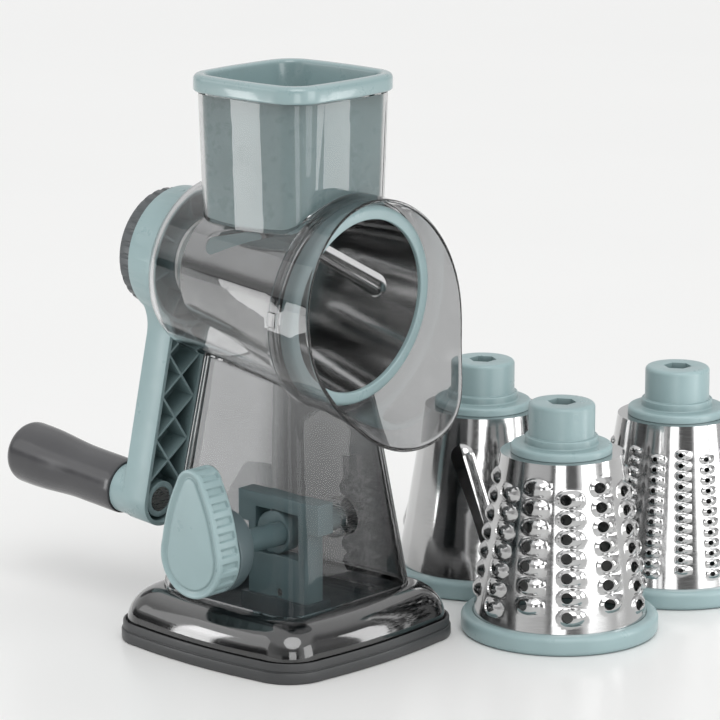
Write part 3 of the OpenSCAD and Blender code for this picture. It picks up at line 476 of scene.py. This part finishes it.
def foot_piece():
    levels = [(1.3, 0.0), (0.4, 0.35), (0.0, 1.2), (0.0, 5.3), (0.2, 5.7), (0.9, 5.95), (1.0, 6.3),
              (0.72, 6.65), (0.75, 9.5), (0.95, 10.1), (1.5, 10.45), (2.05, 10.2), (2.35, 9.7),
              (2.42, 8.8), (3.02, 8.8), (3.06, 9.47), (9.0, 9.47)]
    rings = [[(x, y, z) for x, y in outline(BASE_W - 2 * i, BASE_R - i, BASE_BOW)] for i, z in levels]
    def circle(r, z):
        return [(r * math.cos(math.atan2(y, x)), r * math.sin(math.atan2(y, x)), z)
                for x, y, _ in rings[0]]
    rings = [circle(55.9, 0.0)] + rings + [circle(55.9, 9.47), circle(55.5, 9.1), circle(55.5, 0.4)]
    verts, faces = strips(rings, closed_loop=True)
    obj = link("foot_tray", write_mesh("foot_tray", verts, faces))
    r = 4.0
    for sx in (-1, 1):
        for sy in (-1, 1):
            place = Matrix.Translation((sx * 49 * MM, sy * 49 * MM, 0))
            v, f = lathe([(0, -2), (3.95, -2), (3.95, 4.5), (0, 4.5)], 32, closed=False)
            cut(obj, v, f, matrix=place)
            v, f = lathe([(0, -2), (2.2, -2), (2.2, 12), (0, 12)], 24, closed=False)
            cut(obj, v, f, matrix=place)
    return dress(settle(obj), rubber, "stand", "foot_rubber", "base_foot")


def skirt_piece():
    steps = 18
    def level(a, inset):
        c, q = math.cos(a), math.sin(a)
        return (COLUMN_W - 2 * inset + (BASE_W - 6 - COLUMN_W) * c,
                COLUMN_R - inset + (BASE_R - 3 - COLUMN_R) * c,
                0.3 + (BASE_BOW - 0.3) * c, 9.5 + (18 - inset) * q)
    angles = [math.radians(90 * i / steps) for i in range(steps + 1)]
    levels = [level(a, 0) for a in angles]
    levels += [(COLUMN_W - 5.2, COLUMN_R - 2.6, 0.3, 27.5), (COLUMN_W - 5.2, COLUMN_R - 2.6, 0.3, 25.0)]
    levels += [level(a, 2.5) for a in reversed(angles[:-1])]
    verts, faces = square_loft(levels, corner=16, side=12, closed_loop=True)
    obj = link("skirt_dome", write_mesh("skirt_dome", verts, faces))
    return dress(settle(obj), skirt_smoke, "stand", "smoke_plastic", "stand_skirt")


def column_width(z):
    return COLUMN_W - 2 * (COLUMN_W - 63.0) / (2 * 121.5) * (z - 27.5)


def column_corner(z):
    return COLUMN_R - (COLUMN_R - 10.0) * (z - 27.5) / 121.5


def barrel_profile(grow=0.0, inner=False):
    """(r, s) of the barrel from the mouth to the closed end."""
    wall = 2.2 if inner else 0.0
    r = 11.5 - wall if inner else 11.5 + grow
    pts = [(51.8 - wall + grow, -46.0)]
    pts += [(34.6 + r * math.cos(math.radians(6 * i)), 45.5 + r * math.sin(math.radians(6 * i)))
            for i in range(16)]
    return pts


def column_piece():
    low, high = 27.56, 176.0
    def levels(inset, a, b):
        return [(column_width(z) - 2 * inset, column_corner(z) - inset, 0.3, z) for z in (a, b)]
    verts, faces = square_loft(levels(0, low, high), corner=16)
    obj = link("column_shell", write_mesh("column_shell", verts, faces))
    cut(obj, *square_loft(levels(2.5, low - 4, high + 4), corner=16))
    barrel = [(0, -50)] + [(52.0, -50)] + barrel_profile(0.15) + [(0, 57.15)]
    cut(obj, *lathe(barrel, 144, closed=False), matrix=AXIS)
    cut(obj, *lathe([(0, -47), (52.9, -47), (52.9, -35.9), (0, -35.9)], 144, closed=False), matrix=AXIS)
    hole = Matrix.Translation((-0.1, 0, 0.055)) @ Matrix.Rotation(math.radians(90), 4, "Y")
    cut(obj, *lathe([(0, 0), (6.4, 0), (6.4, 99), (0, 99)], 48, closed=False), matrix=hole)
    return dress(settle(obj), smoke, "stand", "clear_plastic", "stand_column")


foot_piece()
skirt_piece()
column_piece()


# ---------------------------------------------------------------- barrel and chute
def chute_level(z, inset=0.0, grow=0.0):
    w = 71.4 + (75.2 - 71.4) * (z - 225.0) / 56.0
    r = 13.4 + (15.3 - 13.4) * (z - 225.0) / 56.0
    return (w - 2 * inset, r - inset, 1.1, z)


def barrel_piece():
    wall = [(50.85, -46.0), (52.2, -46.0), (52.75, -45.5), (52.75, -36.5), (52.3, -36.0), (51.5, -35.9)]
    wall += barrel_profile()[1:] + [(34.6, 57.0), (19.1, 57.0), (19.1, 54.8)]
    lining = [p for p in barrel_profile(inner=True) if p[1] > -41.0]
    wall += lining[::-1] + [(49.6, -41.6), (50.85, -41.6)]
    obj = link("barrel_shell", write_mesh("barrel_shell", *lathe(wall, 160), matrix=AXIS))
    rings = [chute_level(z, 1.8) for z in (188.0, 300.0)]
    cut(obj, *square_loft(rings, corner=16, dy=-6.1))
    for a in (0, 180):
        turn = AXIS @ Matrix.Rotation(math.radians(a), 4, "Z")
        x0, x1, y, z0, z1 = 52.0, 54.9, 3.5, -45.0, -40.0
        v = [(x, yy, z) for x in (x0, x1) for yy in (-y, y) for z in (z0, z1)]
        f = [(0, 1, 3, 2), (4, 6, 7, 5), (0, 4, 5, 1), (2, 3, 7, 6), (0, 2, 6, 4), (1, 5, 7, 3)]
        cut(obj, v, f, "UNION", matrix=turn)
    return dress(settle(obj), barrel_clear, "stand", "clear_plastic", "drum_barrel")


def chute_piece():
    levels = [chute_level(190.0), chute_level(280.5), chute_level(281.0, 0.5)]
    verts, faces = square_loft(levels, corner=16, dy=-6.1)
    obj = link("chute_shell", write_mesh("chute_shell", verts, faces))
    cut(obj, *square_loft([chute_level(z, 1.8) for z in (185.0, 290.0)], corner=16, dy=-6.1))
    barrel = [(0, -50)] + [(52.0, -50)] + barrel_profile(0.1) + [(0, 57.1)]
    cut(obj, *lathe(barrel, 160, closed=False), matrix=AXIS)
    cut(obj, *lathe([(0, -47), (52.9, -47), (52.9, -35.9), (0, -35.9)], 160, closed=False), matrix=AXIS)
    return dress(settle(obj), chute_clear, "stand", "clear_plastic", "feed_chute")


barrel_piece()
chute_piece()


# ---------------------------------------------------------------- pusher
def pusher_piece():
    def rim(inset, z):
        return (80 - 2 * inset, 17.7 - inset, 1.1, z)
    def arc(r, lo, hi, steps=5):
        return [(r * (1 - math.sin(math.radians(a))), r * (1 - math.cos(math.radians(a))))
                for a in [lo + (hi - lo) * i / steps for i in range(steps + 1)]]
    levels = [chute_level(216.0, 3.2), chute_level(216.9, 2.15), chute_level(281.0, 2.15),
              chute_level(281.36, 1.9)]
    levels += [rim(i, 281.36 + z) for i, z in arc(1.3, 0, 90, 4)]
    levels += [rim(i, 290.0 - z) for i, z in reversed(arc(2.8, 0, 90, 6))]
    top = chute_level(290.0, 4.55)
    levels += [(top[0] + 2 * (2.2 - i), top[1] + 2.2 - i, 1.1, 290.0 - z)
               for i, z in [(0, 0), (0.55, 0.06), (1.1, 0.3), (1.6, 0.7), (1.95, 1.25), (2.2, 2.2)]]
    levels += [chute_level(237.0, 4.55), chute_level(234.2, 4.95), chute_level(232.8, 5.9),
               chute_level(232.1, 7.3), chute_level(232.0, 9.0)]
    verts, faces = square_loft(levels, corner=18, side=12, dy=-6.1)
    obj = link("pusher_cup", write_mesh("pusher_cup", verts, faces))
    half = math.atan(14.5 / 91.5)
    sweep = [(0, -52.0), (45.9 + 4.0, -52.0), (45.9 - 94 * math.tan(half) + 4.0, 42.0), (0, 42.0)]
    cut(obj, *lathe(sweep, 160, closed=False), matrix=AXIS)
    return dress(settle(obj), pusher_teal, "food_pusher", "teal_plastic", "food_pusher")


# ---------------------------------------------------------------- mouth guard
def guard_piece():
    segments, rows = 224, 26
    verts, faces = [], []
    ring = None
    for i in range(segments):
        t = TAU * i / segments
        up = math.sin(t)
        a = abs((t - 1.5 * math.pi + math.pi) % TAU - math.pi)
        b = math.exp(-((a / 0.91) ** 3.6))
        rim_r = 56.35 - 1.9 * up - 0.48 * math.cos(2 * t) + 3.9 * b - 0.8
        rim_s = -67.5 + 11.2 * up - 15.8 * b
        line = []
        for j in range(rows + 1):
            u = j / rows
            s_here = -40.5 + (rim_s + 40.5) * u
            w_here = clamp((-50.0 - s_here) / (-50.0 - rim_s)) if rim_s < -50 else 0.0
            line.append((53.9 + (rim_r - 53.9) * w_here ** 1.6, s_here))
        def side(offset):
            out = []
            for j, (r, z) in enumerate(line):
                a0 = line[max(0, j - 1)]
                a1 = line[min(rows, j + 1)]
                tr, tz = a1[0] - a0[0], a1[1] - a0[1]
                n = math.hypot(tr, tz)
                out.append((r - tz / n * offset, z + tr / n * offset))
            return out
        outer, inner = side(0.8), side(-0.8)
        r, z = line[-1]
        tr, tz = line[-1][0] - line[-2][0], line[-1][1] - line[-2][1]
        n = math.hypot(tr, tz)
        tr, tz = tr / n, tz / n
        edge = []
        for k in range(1, 6):
            q = math.radians(180 * k / 6)
            off, out = 0.8 * math.cos(q), 0.8 * math.sin(q)
            edge.append((r - tz * off + tr * out, z + tr * off + tz * out))
        ring = outer + edge + inner[::-1]
        c, q = math.cos(t), -math.sin(t)
        verts += [(r * c, r * q, z) for r, z in ring]
    m = len(ring)
    for i in range(segments):
        k = (i + 1) % segments
        for j in range(m):
            h = (j + 1) % m
            faces.append((i * m + j, k * m + j, k * m + h, i * m + h))
    obj = link("guard_shell", write_mesh("guard_shell", verts, faces, matrix=AXIS))
    for a in (0, 180):
        turn = AXIS @ Matrix.Rotation(math.radians(a), 4, "Z")
        x0, x1, y, z0, z1 = 40.0, 70.0, 3.85, -45.35, -35.0
        v = [(x, yy, z) for x in (x0, x1) for yy in (-y, y) for z in (z0, z1)]
        f = [(0, 1, 3, 2), (4, 6, 7, 5), (0, 4, 5, 1), (2, 3, 7, 6), (0, 2, 6, 4), (1, 5, 7, 3)]
        cut(obj, v, f, matrix=turn)
    return dress(settle(obj, 40), guard_clear, "front_guard", "clear_plastic", "front_guard")


pusher_piece()
guard_piece()


# ---------------------------------------------------------------- drums
CONE_WIDE, CONE_NARROW, CONE_L, CONE_FOOT = 45.5, 31.0, 91.5, 2.5
HALF = math.atan((CONE_WIDE - CONE_NARROW) / CONE_L)
CONE_TOP = CONE_FOOT + CONE_L


def cone_r(z):
    return CONE_WIDE - (z - CONE_FOOT) * math.tan(HALF)


def spare_place(x, y, turn=0.0):
    return Matrix.Translation((x * MM, y * MM, 0)) @ Matrix.Rotation(math.radians(turn), 4, "Z")


MOUNTED = AXIS @ Matrix.Translation((0, 0, -0.052))
PLACES = {
    "mounted": (MOUNTED, "drum"),
    "slicing": (spare_place(149, -3), "stand"),
    "coarse": (spare_place(103, -95), "stand"),
    "fine": (spare_place(206, -89), "stand"),
}


def ring_piece(kind):
    place, body = PLACES[kind]
    outer = [(43.8, 1.4), (43.8, 0.0, 0.9), (50.5, 0.0, 2.6), (50.5, 10.0, 2.9),
             (cone_r(10) + 0.05, 10.0, 0.5), (45.55, 2.45, 0), (43.8, 2.45, 0.3), (43.8, 1.4)]
    profile = rounded(outer, steps=6)[:-1]
    name = kind + "_rim"
    obj = link(name, write_mesh(name, *lathe(profile, 128), matrix=place))
    return dress(settle(obj), teal, body, "teal_plastic", kind + "_drum_ring")


def hub_piece(kind):
    place, body = PLACES[kind]
    top = CONE_TOP
    outer = [(0, top - 3.3), (26.0, top - 3.3, 0.4), (26.0, top - 0.82, 0.2), (19.95, top - 0.82, 0),
             (19.95, top, 0), (25.8, top, 0.4), (25.8, top + 4.3, 1.7), (18.6, top + 4.3, 1.0),
             (18.6, top + 8.6, 1.1), (16.9, top + 8.6, 0.5), (16.9, top + 25.6, 2.2), (0, top + 25.6)]
    name = kind + "_stub"
    obj = link(name, write_mesh(name, *lathe(rounded(outer, steps=5), 112, closed=False), matrix=place))
    hexagon = [[(7.4 * math.cos(math.radians(60 * i)), 7.4 * math.sin(math.radians(60 * i)), z)
                for i in range(6)] for z in (top + 15.6, top + 27.0)]
    cut(obj, *strips(hexagon), matrix=place)
    cut(obj, *lathe([(0, top + 6.6), (4.35, top + 6.6), (4.35, top + 16), (0, top + 16)], 40,
                    closed=False), matrix=place)
    soften(obj, 0.35 * MM, 2, 60)
    return dress(settle(obj), teal, body, "teal_plastic", kind + "_drum_hub")


def grater(name, kind, turn, columns, rows, first, pitch, hole_u, hole_r, tooth, nu, nv, rings, skip=None):
    """A steel cone with a pressed tooth in every cell, each pierced by a round hole."""
    place, body = PLACES[kind]
    verts, faces = [], []
    index = {}

    def point(theta, z, lift=0.0):
        r = cone_r(z) + lift * math.cos(HALF)
        key = (round(math.degrees(theta) % 360.0, 4) % 360.0, round(z, 4), round(lift, 4))
        if key not in index:
            index[key] = len(verts)
            verts.append((r * math.cos(theta), r * math.sin(theta), z + lift * math.sin(HALF)))
        return index[key]

    step = TAU / columns
    dz = pitch / nv
    low = first - pitch / 2
    start = low - math.floor((low - CONE_FOOT - 0.01) / dz) * dz
    lines = [CONE_FOOT] + [start + dz * i for i in range(int((CONE_TOP - 0.5 - start) / dz) + 1)]
    lines.append(CONE_TOP)
    for c in range(columns):
        mid = step * (c + 0.5) + math.radians(turn)
        offset = pitch / 2 if c % 2 else 0.0
        cells = [first + offset + pitch * i for i in range(rows)]
        cell_low = cells[0] - pitch / 2
        cell_high = cells[-1] + pitch / 2
        for z0, z1 in zip(lines, lines[1:]):
            if z0 > cell_low - 1e-6 and z1 < cell_high + 1e-6:
                continue
            for i in range(nu):
                t0, t1 = mid + step * (i / nu - 0.5), mid + step * ((i + 1) / nu - 0.5)
                faces.append((point(t0, z0), point(t1, z0), point(t1, z1), point(t0, z1)))
        for zc in cells:
            r = cone_r(zc)
            wide, tall = step * r / 2, pitch / 2
            edge = [(-1 + 2 * i / nu, -1.0) for i in range(nu)]
            edge += [(1.0, -1 + 2 * i / nv) for i in range(nv)]
            edge += [(1 - 2 * i / nu, 1.0) for i in range(nu)]
            edge += [(-1.0, 1 - 2 * i / nv) for i in range(nv)]
            loops = []
            for k in range(rings + 1):
                q = (k / rings) ** 1.35
                loop = []
                for eu, ev in edge:
                    a = math.atan2(ev * tall, eu * wide - hole_u)
                    a = math.atan2(ev, eu) if nv == nu else a
                    hu, hv = hole_u + hole_r * math.cos(a), hole_r * math.sin(a)
                    u = hu + (eu * wide - hu) * q
                    v = hv + (ev * tall - hv) * q
                    lift = 0.0 if k == rings else tooth(u, v)
                    loop.append(point(mid + u / r, zc + v, lift))
                loops.append(loop)
            for a, b in zip(loops, loops[1:]):
                n = len(a)
                for i in range(n):
                    h = (i + 1) % n
                    faces.append((a[i], a[h], b[h], b[i]))
    total = columns * nu
    around = [math.radians(turn) + TAU * i / total for i in range(total)]
    levels = [(CONE_NARROW - 0.25, CONE_TOP + 0.0), (24.0, CONE_TOP), (20.05, CONE_TOP)]
    last = [point(a, CONE_TOP) for a in around]
    for r, z in levels:
        row = []
        for a in around:
            row.append(len(verts))
            verts.append((r * math.cos(a), r * math.sin(a), z))
        for i in range(total):
            h = (i + 1) % total
            faces.append((last[i], last[h], row[h], row[i]))
        last = row
    obj = link(name, write_mesh(name, verts, faces, matrix=place))
    wall = obj.modifiers.new("wall", "SOLIDIFY")
    wall.thickness = 0.75 * MM
    wall.offset = -1.0
    return dress(settle(obj, 40), sheet, body, "polished_steel", kind + "_drum_cone")


def dome(half_u, half_v, rise, skew):
    def tooth(u, v):
        e = (u / half_u) ** 2 + (v / half_v) ** 2
        if e >= 1:
            return 0.0
        swell = (1 - e) ** 0.8
        return rise * swell * (1 + skew * u / half_u)
    return tooth


for kind in PLACES:
    ring_piece(kind)
    hub_piece(kind)
grater("coarse_steel", "coarse", 32.4, 12, 7, 18.5, 9.75, -2.4, 2.75, dome(7.1, 4.7, 2.9, 0.3), 8, 8, 8)
grater("fine_steel", "fine", 9.8, 16, 12, 17.3, 5.4, -1.0, 1.3, dome(3.9, 2.5, 1.6, 0.25), 8, 4, 8)


# ---------------------------------------------------------------- egg knob
def egg_piece():
    wide, narrow, reach = 20.5, 9.0, 36.0
    lean = math.asin((wide - narrow) / reach)

    def at(d):
        """Point and outward normal at a distance along the outline."""
        a1 = wide * (math.pi + 2 * lean)
        straight = reach * math.cos(lean)
        a2 = narrow * (math.pi - 2 * lean)
        d %= a1 + 2 * straight + a2
        if d < a1:
            a = math.pi - lean + d / wide
            n = (math.cos(a), math.sin(a))
            return (wide * n[0], wide * n[1]), n
        d -= a1
        if d < straight:
            n = (math.cos(lean), math.sin(lean))
            k = d / straight
            r = wide + (narrow - wide) * k + 1.5 * math.sin(math.pi * k)
            return (r * n[0], r * n[1] + reach * k), n
        d -= straight
        if d < a2:
            a = lean + d / narrow
            n = (math.cos(a), math.sin(a))
            return (narrow * n[0], reach + narrow * n[1]), n
        d -= a2
        n = (-math.cos(lean), math.sin(lean))
        k = 1 - d / straight
        r = wide + (narrow - wide) * k + 1.5 * math.sin(math.pi * k)
        return (r * n[0], r * n[1] + reach * k), n

    length = wide * (math.pi + 2 * lean) + 2 * reach * math.cos(lean) + narrow * (math.pi - 2 * lean)
    waves = 22
    count = waves * 16
    marks = [at(length * i / count) for i in range(count)]

    def wave(i):
        u = (i % 16) / 16
        d = abs(u - 0.5) * 2
        return clamp((d - 0.42) / 0.16)

    def ring(inset, z, groove=0.0):
        out = []
        for i, (p, n) in enumerate(marks):
            k = inset + groove * wave(i)
            out.append((p[0] - n[0] * k, p[1] - n[1] * k, z))
        return out

    rings = [ring(2.0, 0.0), ring(0.5, 0.0), ring(0.0, 0.5), ring(0.0, 1.7), ring(0.0, 1.9, 0.5),
             ring(0.0, 2.3, 1.1), ring(0.0, 11.9, 1.1), ring(0.0, 12.3, 0.5), ring(0.0, 12.5),
             ring(0.0, 14.3), ring(0.2, 14.9), ring(0.7, 15.25), ring(1.3, 15.3), ring(1.7, 15.15),
             ring(2.6, 14.35), ring(3.4, 14.0), ring(4.0, 14.0), ring(4.3, 14.2), ring(4.5, 14.6),
             ring(4.9, 14.8), ring(5.6, 14.85)]
    verts, faces = strips(rings)
    place = Matrix(((0, 0, -1, -0.05417), (-1, 0, 0, 0), (0, 1, 0, 0.055), (0, 0, 0, 1)))
    obj = link("egg_lever", write_mesh("egg_lever", verts, faces, matrix=place))
    return dress(settle(obj, 50), teal, "suction_lever", "teal_plastic", "egg_knob")


egg_piece()


# ---------------------------------------------------------------- grip
def grip_piece():
    angle = math.radians(8)
    place = AXIS @ Matrix.Translation((-0.128 * math.sin(angle), 0.128 * math.cos(angle), 0))
    front, length = 85.85, 78.0
    def radius(u):
        neck, thick = 14.3, 16.4
        swell = (1 - math.cos(math.pi * clamp((u - 0.34) / 0.5))) / 2
        return neck + (thick - neck) * swell
    profile = [(7.4, front), (13.0, front), (14.0, front + 0.35), (14.25, front + 1.2)]
    steps = 26
    for i in range(1, steps + 1):
        u = i / steps * 0.91
        profile.append((radius(u), front + 1.2 + (length - 1.2) * u))
    z0 = profile[-1][1]
    r0 = profile[-1][0]
    end = front + length
    for i in range(1, 9):
        a = math.radians(90 * i / 8)
        profile.append((r0 - 7.0 * (1 - math.cos(a)), z0 + (end - z0) * math.sin(a)))
    profile += [(7.4, end), (7.4, end - 3.0)]
    obj = link("grip_sleeve", write_mesh("grip_sleeve", *lathe(profile, 96), matrix=place))
    dress(settle(obj), grip_black, "grip", "grip_plastic", "grip")
    cap = [(0, end - 2.6), (7.3, end - 2.6), (7.3, end - 0.35, 0.4), (6.6, end - 0.12, 0.3), (0, end)]
    obj = link("grip_plug", write_mesh("grip_plug", *lathe(rounded(cap), 72, closed=False), matrix=place))
    dress(settle(obj), dark, "grip", "dark_plastic", "grip_cap")


grip_piece()


# ---------------------------------------------------------------- CAD shapes with moulded edges
def refine(node, mat, body, slot, width=0.45, segments=2, limit=30.0, flat=0.4):
    bm = bmesh.new()
    bm.from_mesh(nodes[node].data)
    bmesh.ops.remove_doubles(bm, verts=bm.verts, dist=3e-6)
    bmesh.ops.dissolve_limit(bm, angle_limit=math.radians(flat), verts=bm.verts, edges=bm.edges)
    mesh = bpy.data.meshes.new(node + "_moulded")
    bm.to_mesh(mesh)
    bm.free()
    obj = link(node + "_moulded", mesh)
    soften(obj, width * MM, segments, limit)
    return dress(settle(obj, 40), mat, body, slot, node)


refine("crank_arm", teal, "crank", "teal_plastic", 0.45)
refine("lift_yoke", deep_teal, "suction_lift", "deep_teal_plastic", 0.8, 3)
refine("cam_shaft", deep_teal, "suction_lever", "deep_teal_plastic", 0.4)
refine("lift_cam", deep_teal, "suction_lever", "deep_teal_plastic", 0.5)
refine("lock_knob", knob_grey, "lock_knob", "dark_plastic", 0.4)
refine("knob_seat", seat_grey, "stand", "dark_plastic", 0.7, 3)
refine("shaft_bearing", bearing, "stand", "bearing_metal", 0.6, 3)
refine("base_plate", dark, "stand", "dark_plastic", 0.3)
refine("suction_pad", soft, "suction_lift", "soft_rubber", 0.6)


# ---------------------------------------------------------------- floor and light
floor_mesh = bpy.data.meshes.new("floor")
R = 8.0
floor_mesh.from_pydata([(-R, -R, 0), (R, -R, 0), (R, R, 0), (-R, R, 0)], [], [(0, 1, 2, 3)])
floor = bpy.data.objects.new("floor", floor_mesh)
bpy.context.scene.collection.objects.link(floor)
floor_mat, w, shader, out, coord = material("floor_white")
tone = w.noise(coord, 3.0, 2.0)
w.link(w.ramp(tone, [(0.3, (0.868, 0.868, 0.86, 1)), (0.7, (0.878, 0.878, 0.87, 1))]),
       shader.inputs["Base Color"])
shader.inputs["Roughness"].default_value = 0.28
shader.inputs["Specular IOR Level"].default_value = 0.35
floor_mesh.materials.append(floor_mat)

world = bpy.data.worlds.new("studio")
bpy.context.scene.world = world
world.use_nodes = True
w = Nodes(world.node_tree)
out = w.add("ShaderNodeOutputWorld")
back = w.add("ShaderNodeBackground")
w.link(back.outputs["Background"], out.inputs["Surface"])
coord = w.add("ShaderNodeTexCoord").outputs["Generated"]
axes = w.add("ShaderNodeSeparateXYZ")
w.link(coord, axes.inputs["Vector"])


def maths(op, a, b=None, clamp_it=False):
    node = w.add("ShaderNodeMath", operation=op, use_clamp=clamp_it)
    for socket, value in zip(node.inputs, (a, b)):
        if value is None:
            continue
        if isinstance(value, (int, float)):
            socket.default_value = value
        else:
            w.link(value, socket)
    return node.outputs[0]


# azimuth round the object, 0 towards the photograph's viewpoint, growing to the right
view_azimuth = math.atan2(-look.y, -look.x)
turn = maths("ARCTAN2", axes.outputs["Y"], axes.outputs["X"])
turn = maths("SUBTRACT", turn, view_azimuth)
turn = maths("DIVIDE", turn, TAU)
turn = maths("ADD", turn, 1.5)
turn = maths("FRACT", turn)


def at(deg):
    return 0.5 + deg / 360.0


def grey(v):
    return (v, v, v, 1.0)


band = w.ramp(turn, [
    (at(-175), grey(0.80)), (at(-128), grey(0.80)),
    (at(-122), grey(0.10)), (at(-70), grey(0.10)),
    (at(-62), grey(0.80)), (at(-24), grey(0.70)),
    (at(-18), grey(0.14)), (at(24), grey(0.14)),
    (at(31), grey(1.10)), (at(66), grey(1.10)),
    (at(72), grey(0.40)), (at(92), grey(0.45)),
    (at(96), grey(0.08)), (at(101), grey(0.50)), (at(175), grey(0.80)),
])
high = w.ramp(turn, [
    (at(-175), grey(0.80)), (at(-130), grey(0.75)), (at(-60), grey(0.72)), (at(-20), grey(0.40)),
    (at(24), grey(0.35)), (at(36), grey(1.05)), (at(70), grey(0.95)), (at(92), grey(0.35)),
    (at(110), grey(0.55)), (at(175), grey(0.80)),
])
height = axes.outputs["Z"]
lift = w.add("ShaderNodeMapRange")
lift.interpolation_type = "SMOOTHSTEP"
lift.inputs["From Min"].default_value = 0.14
lift.inputs["From Max"].default_value = 0.26
w.link(height, lift.inputs["Value"])
layers = w.add("ShaderNodeMix", data_type="RGBA")
w.link(lift.outputs["Result"], layers.inputs["Factor"])
w.link(band, layers.inputs[6])
w.link(high, layers.inputs[7])
top = w.add("ShaderNodeMapRange")
top.interpolation_type = "SMOOTHSTEP"
top.inputs["From Min"].default_value = 0.52
top.inputs["From Max"].default_value = 0.72
w.link(height, top.inputs["Value"])
blend = w.add("ShaderNodeMix", data_type="RGBA")
w.link(top.outputs["Result"], blend.inputs["Factor"])
w.link(layers.outputs[2], blend.inputs[6])
blend.inputs[7].default_value = grey(1.15)
w.link(blend.outputs[2], back.inputs["Color"])
back.inputs["Strength"].default_value = 0.88

sun = bpy.data.lights.new("key", "SUN")
sun.energy = 1.0
sun.angle = math.radians(40)
key = bpy.data.objects.new("key", sun)
bpy.context.scene.collection.objects.link(key)
aim = Vector((math.cos(view_azimuth + math.radians(12)), math.sin(view_azimuth + math.radians(12)), 1.35))
key.rotation_euler = aim.to_track_quat("Z", "Y").to_euler()



# the lamps shape the highlights on the object and leave the floor evenly lit
unlit_floor = bpy.data.collections.new("unlit_floor")
unlit_floor.objects.link(floor)
unlit_floor.collection_objects[0].light_linking.link_state = "EXCLUDE"


def softbox(name, place, toward, width, tall, foot, radiance):
    """A flat soft lamp standing upright at a place on the floor, facing another."""
    lamp = bpy.data.lights.new(name, "AREA")
    lamp.shape = "RECTANGLE"
    lamp.size = width
    lamp.size_y = tall
    lamp.energy = radiance * math.pi * width * tall
    box = bpy.data.objects.new(name, lamp)
    bpy.context.scene.collection.objects.link(box)
    box.location = (place[0], place[1], foot + tall / 2)
    away = Vector((place[0] - toward[0], place[1] - toward[1], 0))
    box.rotation_euler = away.to_track_quat("Z", "Y").to_euler()
    box.visible_camera = False
    box.visible_transmission = False
    box.light_linking.receiver_collection = unlit_floor
    return box


def bearing_from_view(deg, distance):
    a = view_azimuth + math.radians(deg)
    return (0.06 + distance * math.cos(a), -0.03 + distance * math.sin(a))


middle = (0.06, -0.03)
softbox("front_box", bearing_from_view(50, 0.98), middle, 0.44, 0.60, 0.01, 2.2)
softbox("corner_box", bearing_from_view(3, 0.66), middle, 0.20, 0.26, 0.01, 2.6)
softbox("left_box", bearing_from_view(-82, 1.1), middle, 0.75, 0.62, 0.30, 0.95)
softbox("left_strip", (-0.358, 0.282), (-0.0365, -0.0145), 0.090, 0.225, 0.005, 5.6)
softbox("right_strip", (0.282, -0.355), (-0.018, -0.0426), 0.082, 0.225, 0.005, 4.2)

bpy.context.scene.view_settings.view_transform = "Standard"
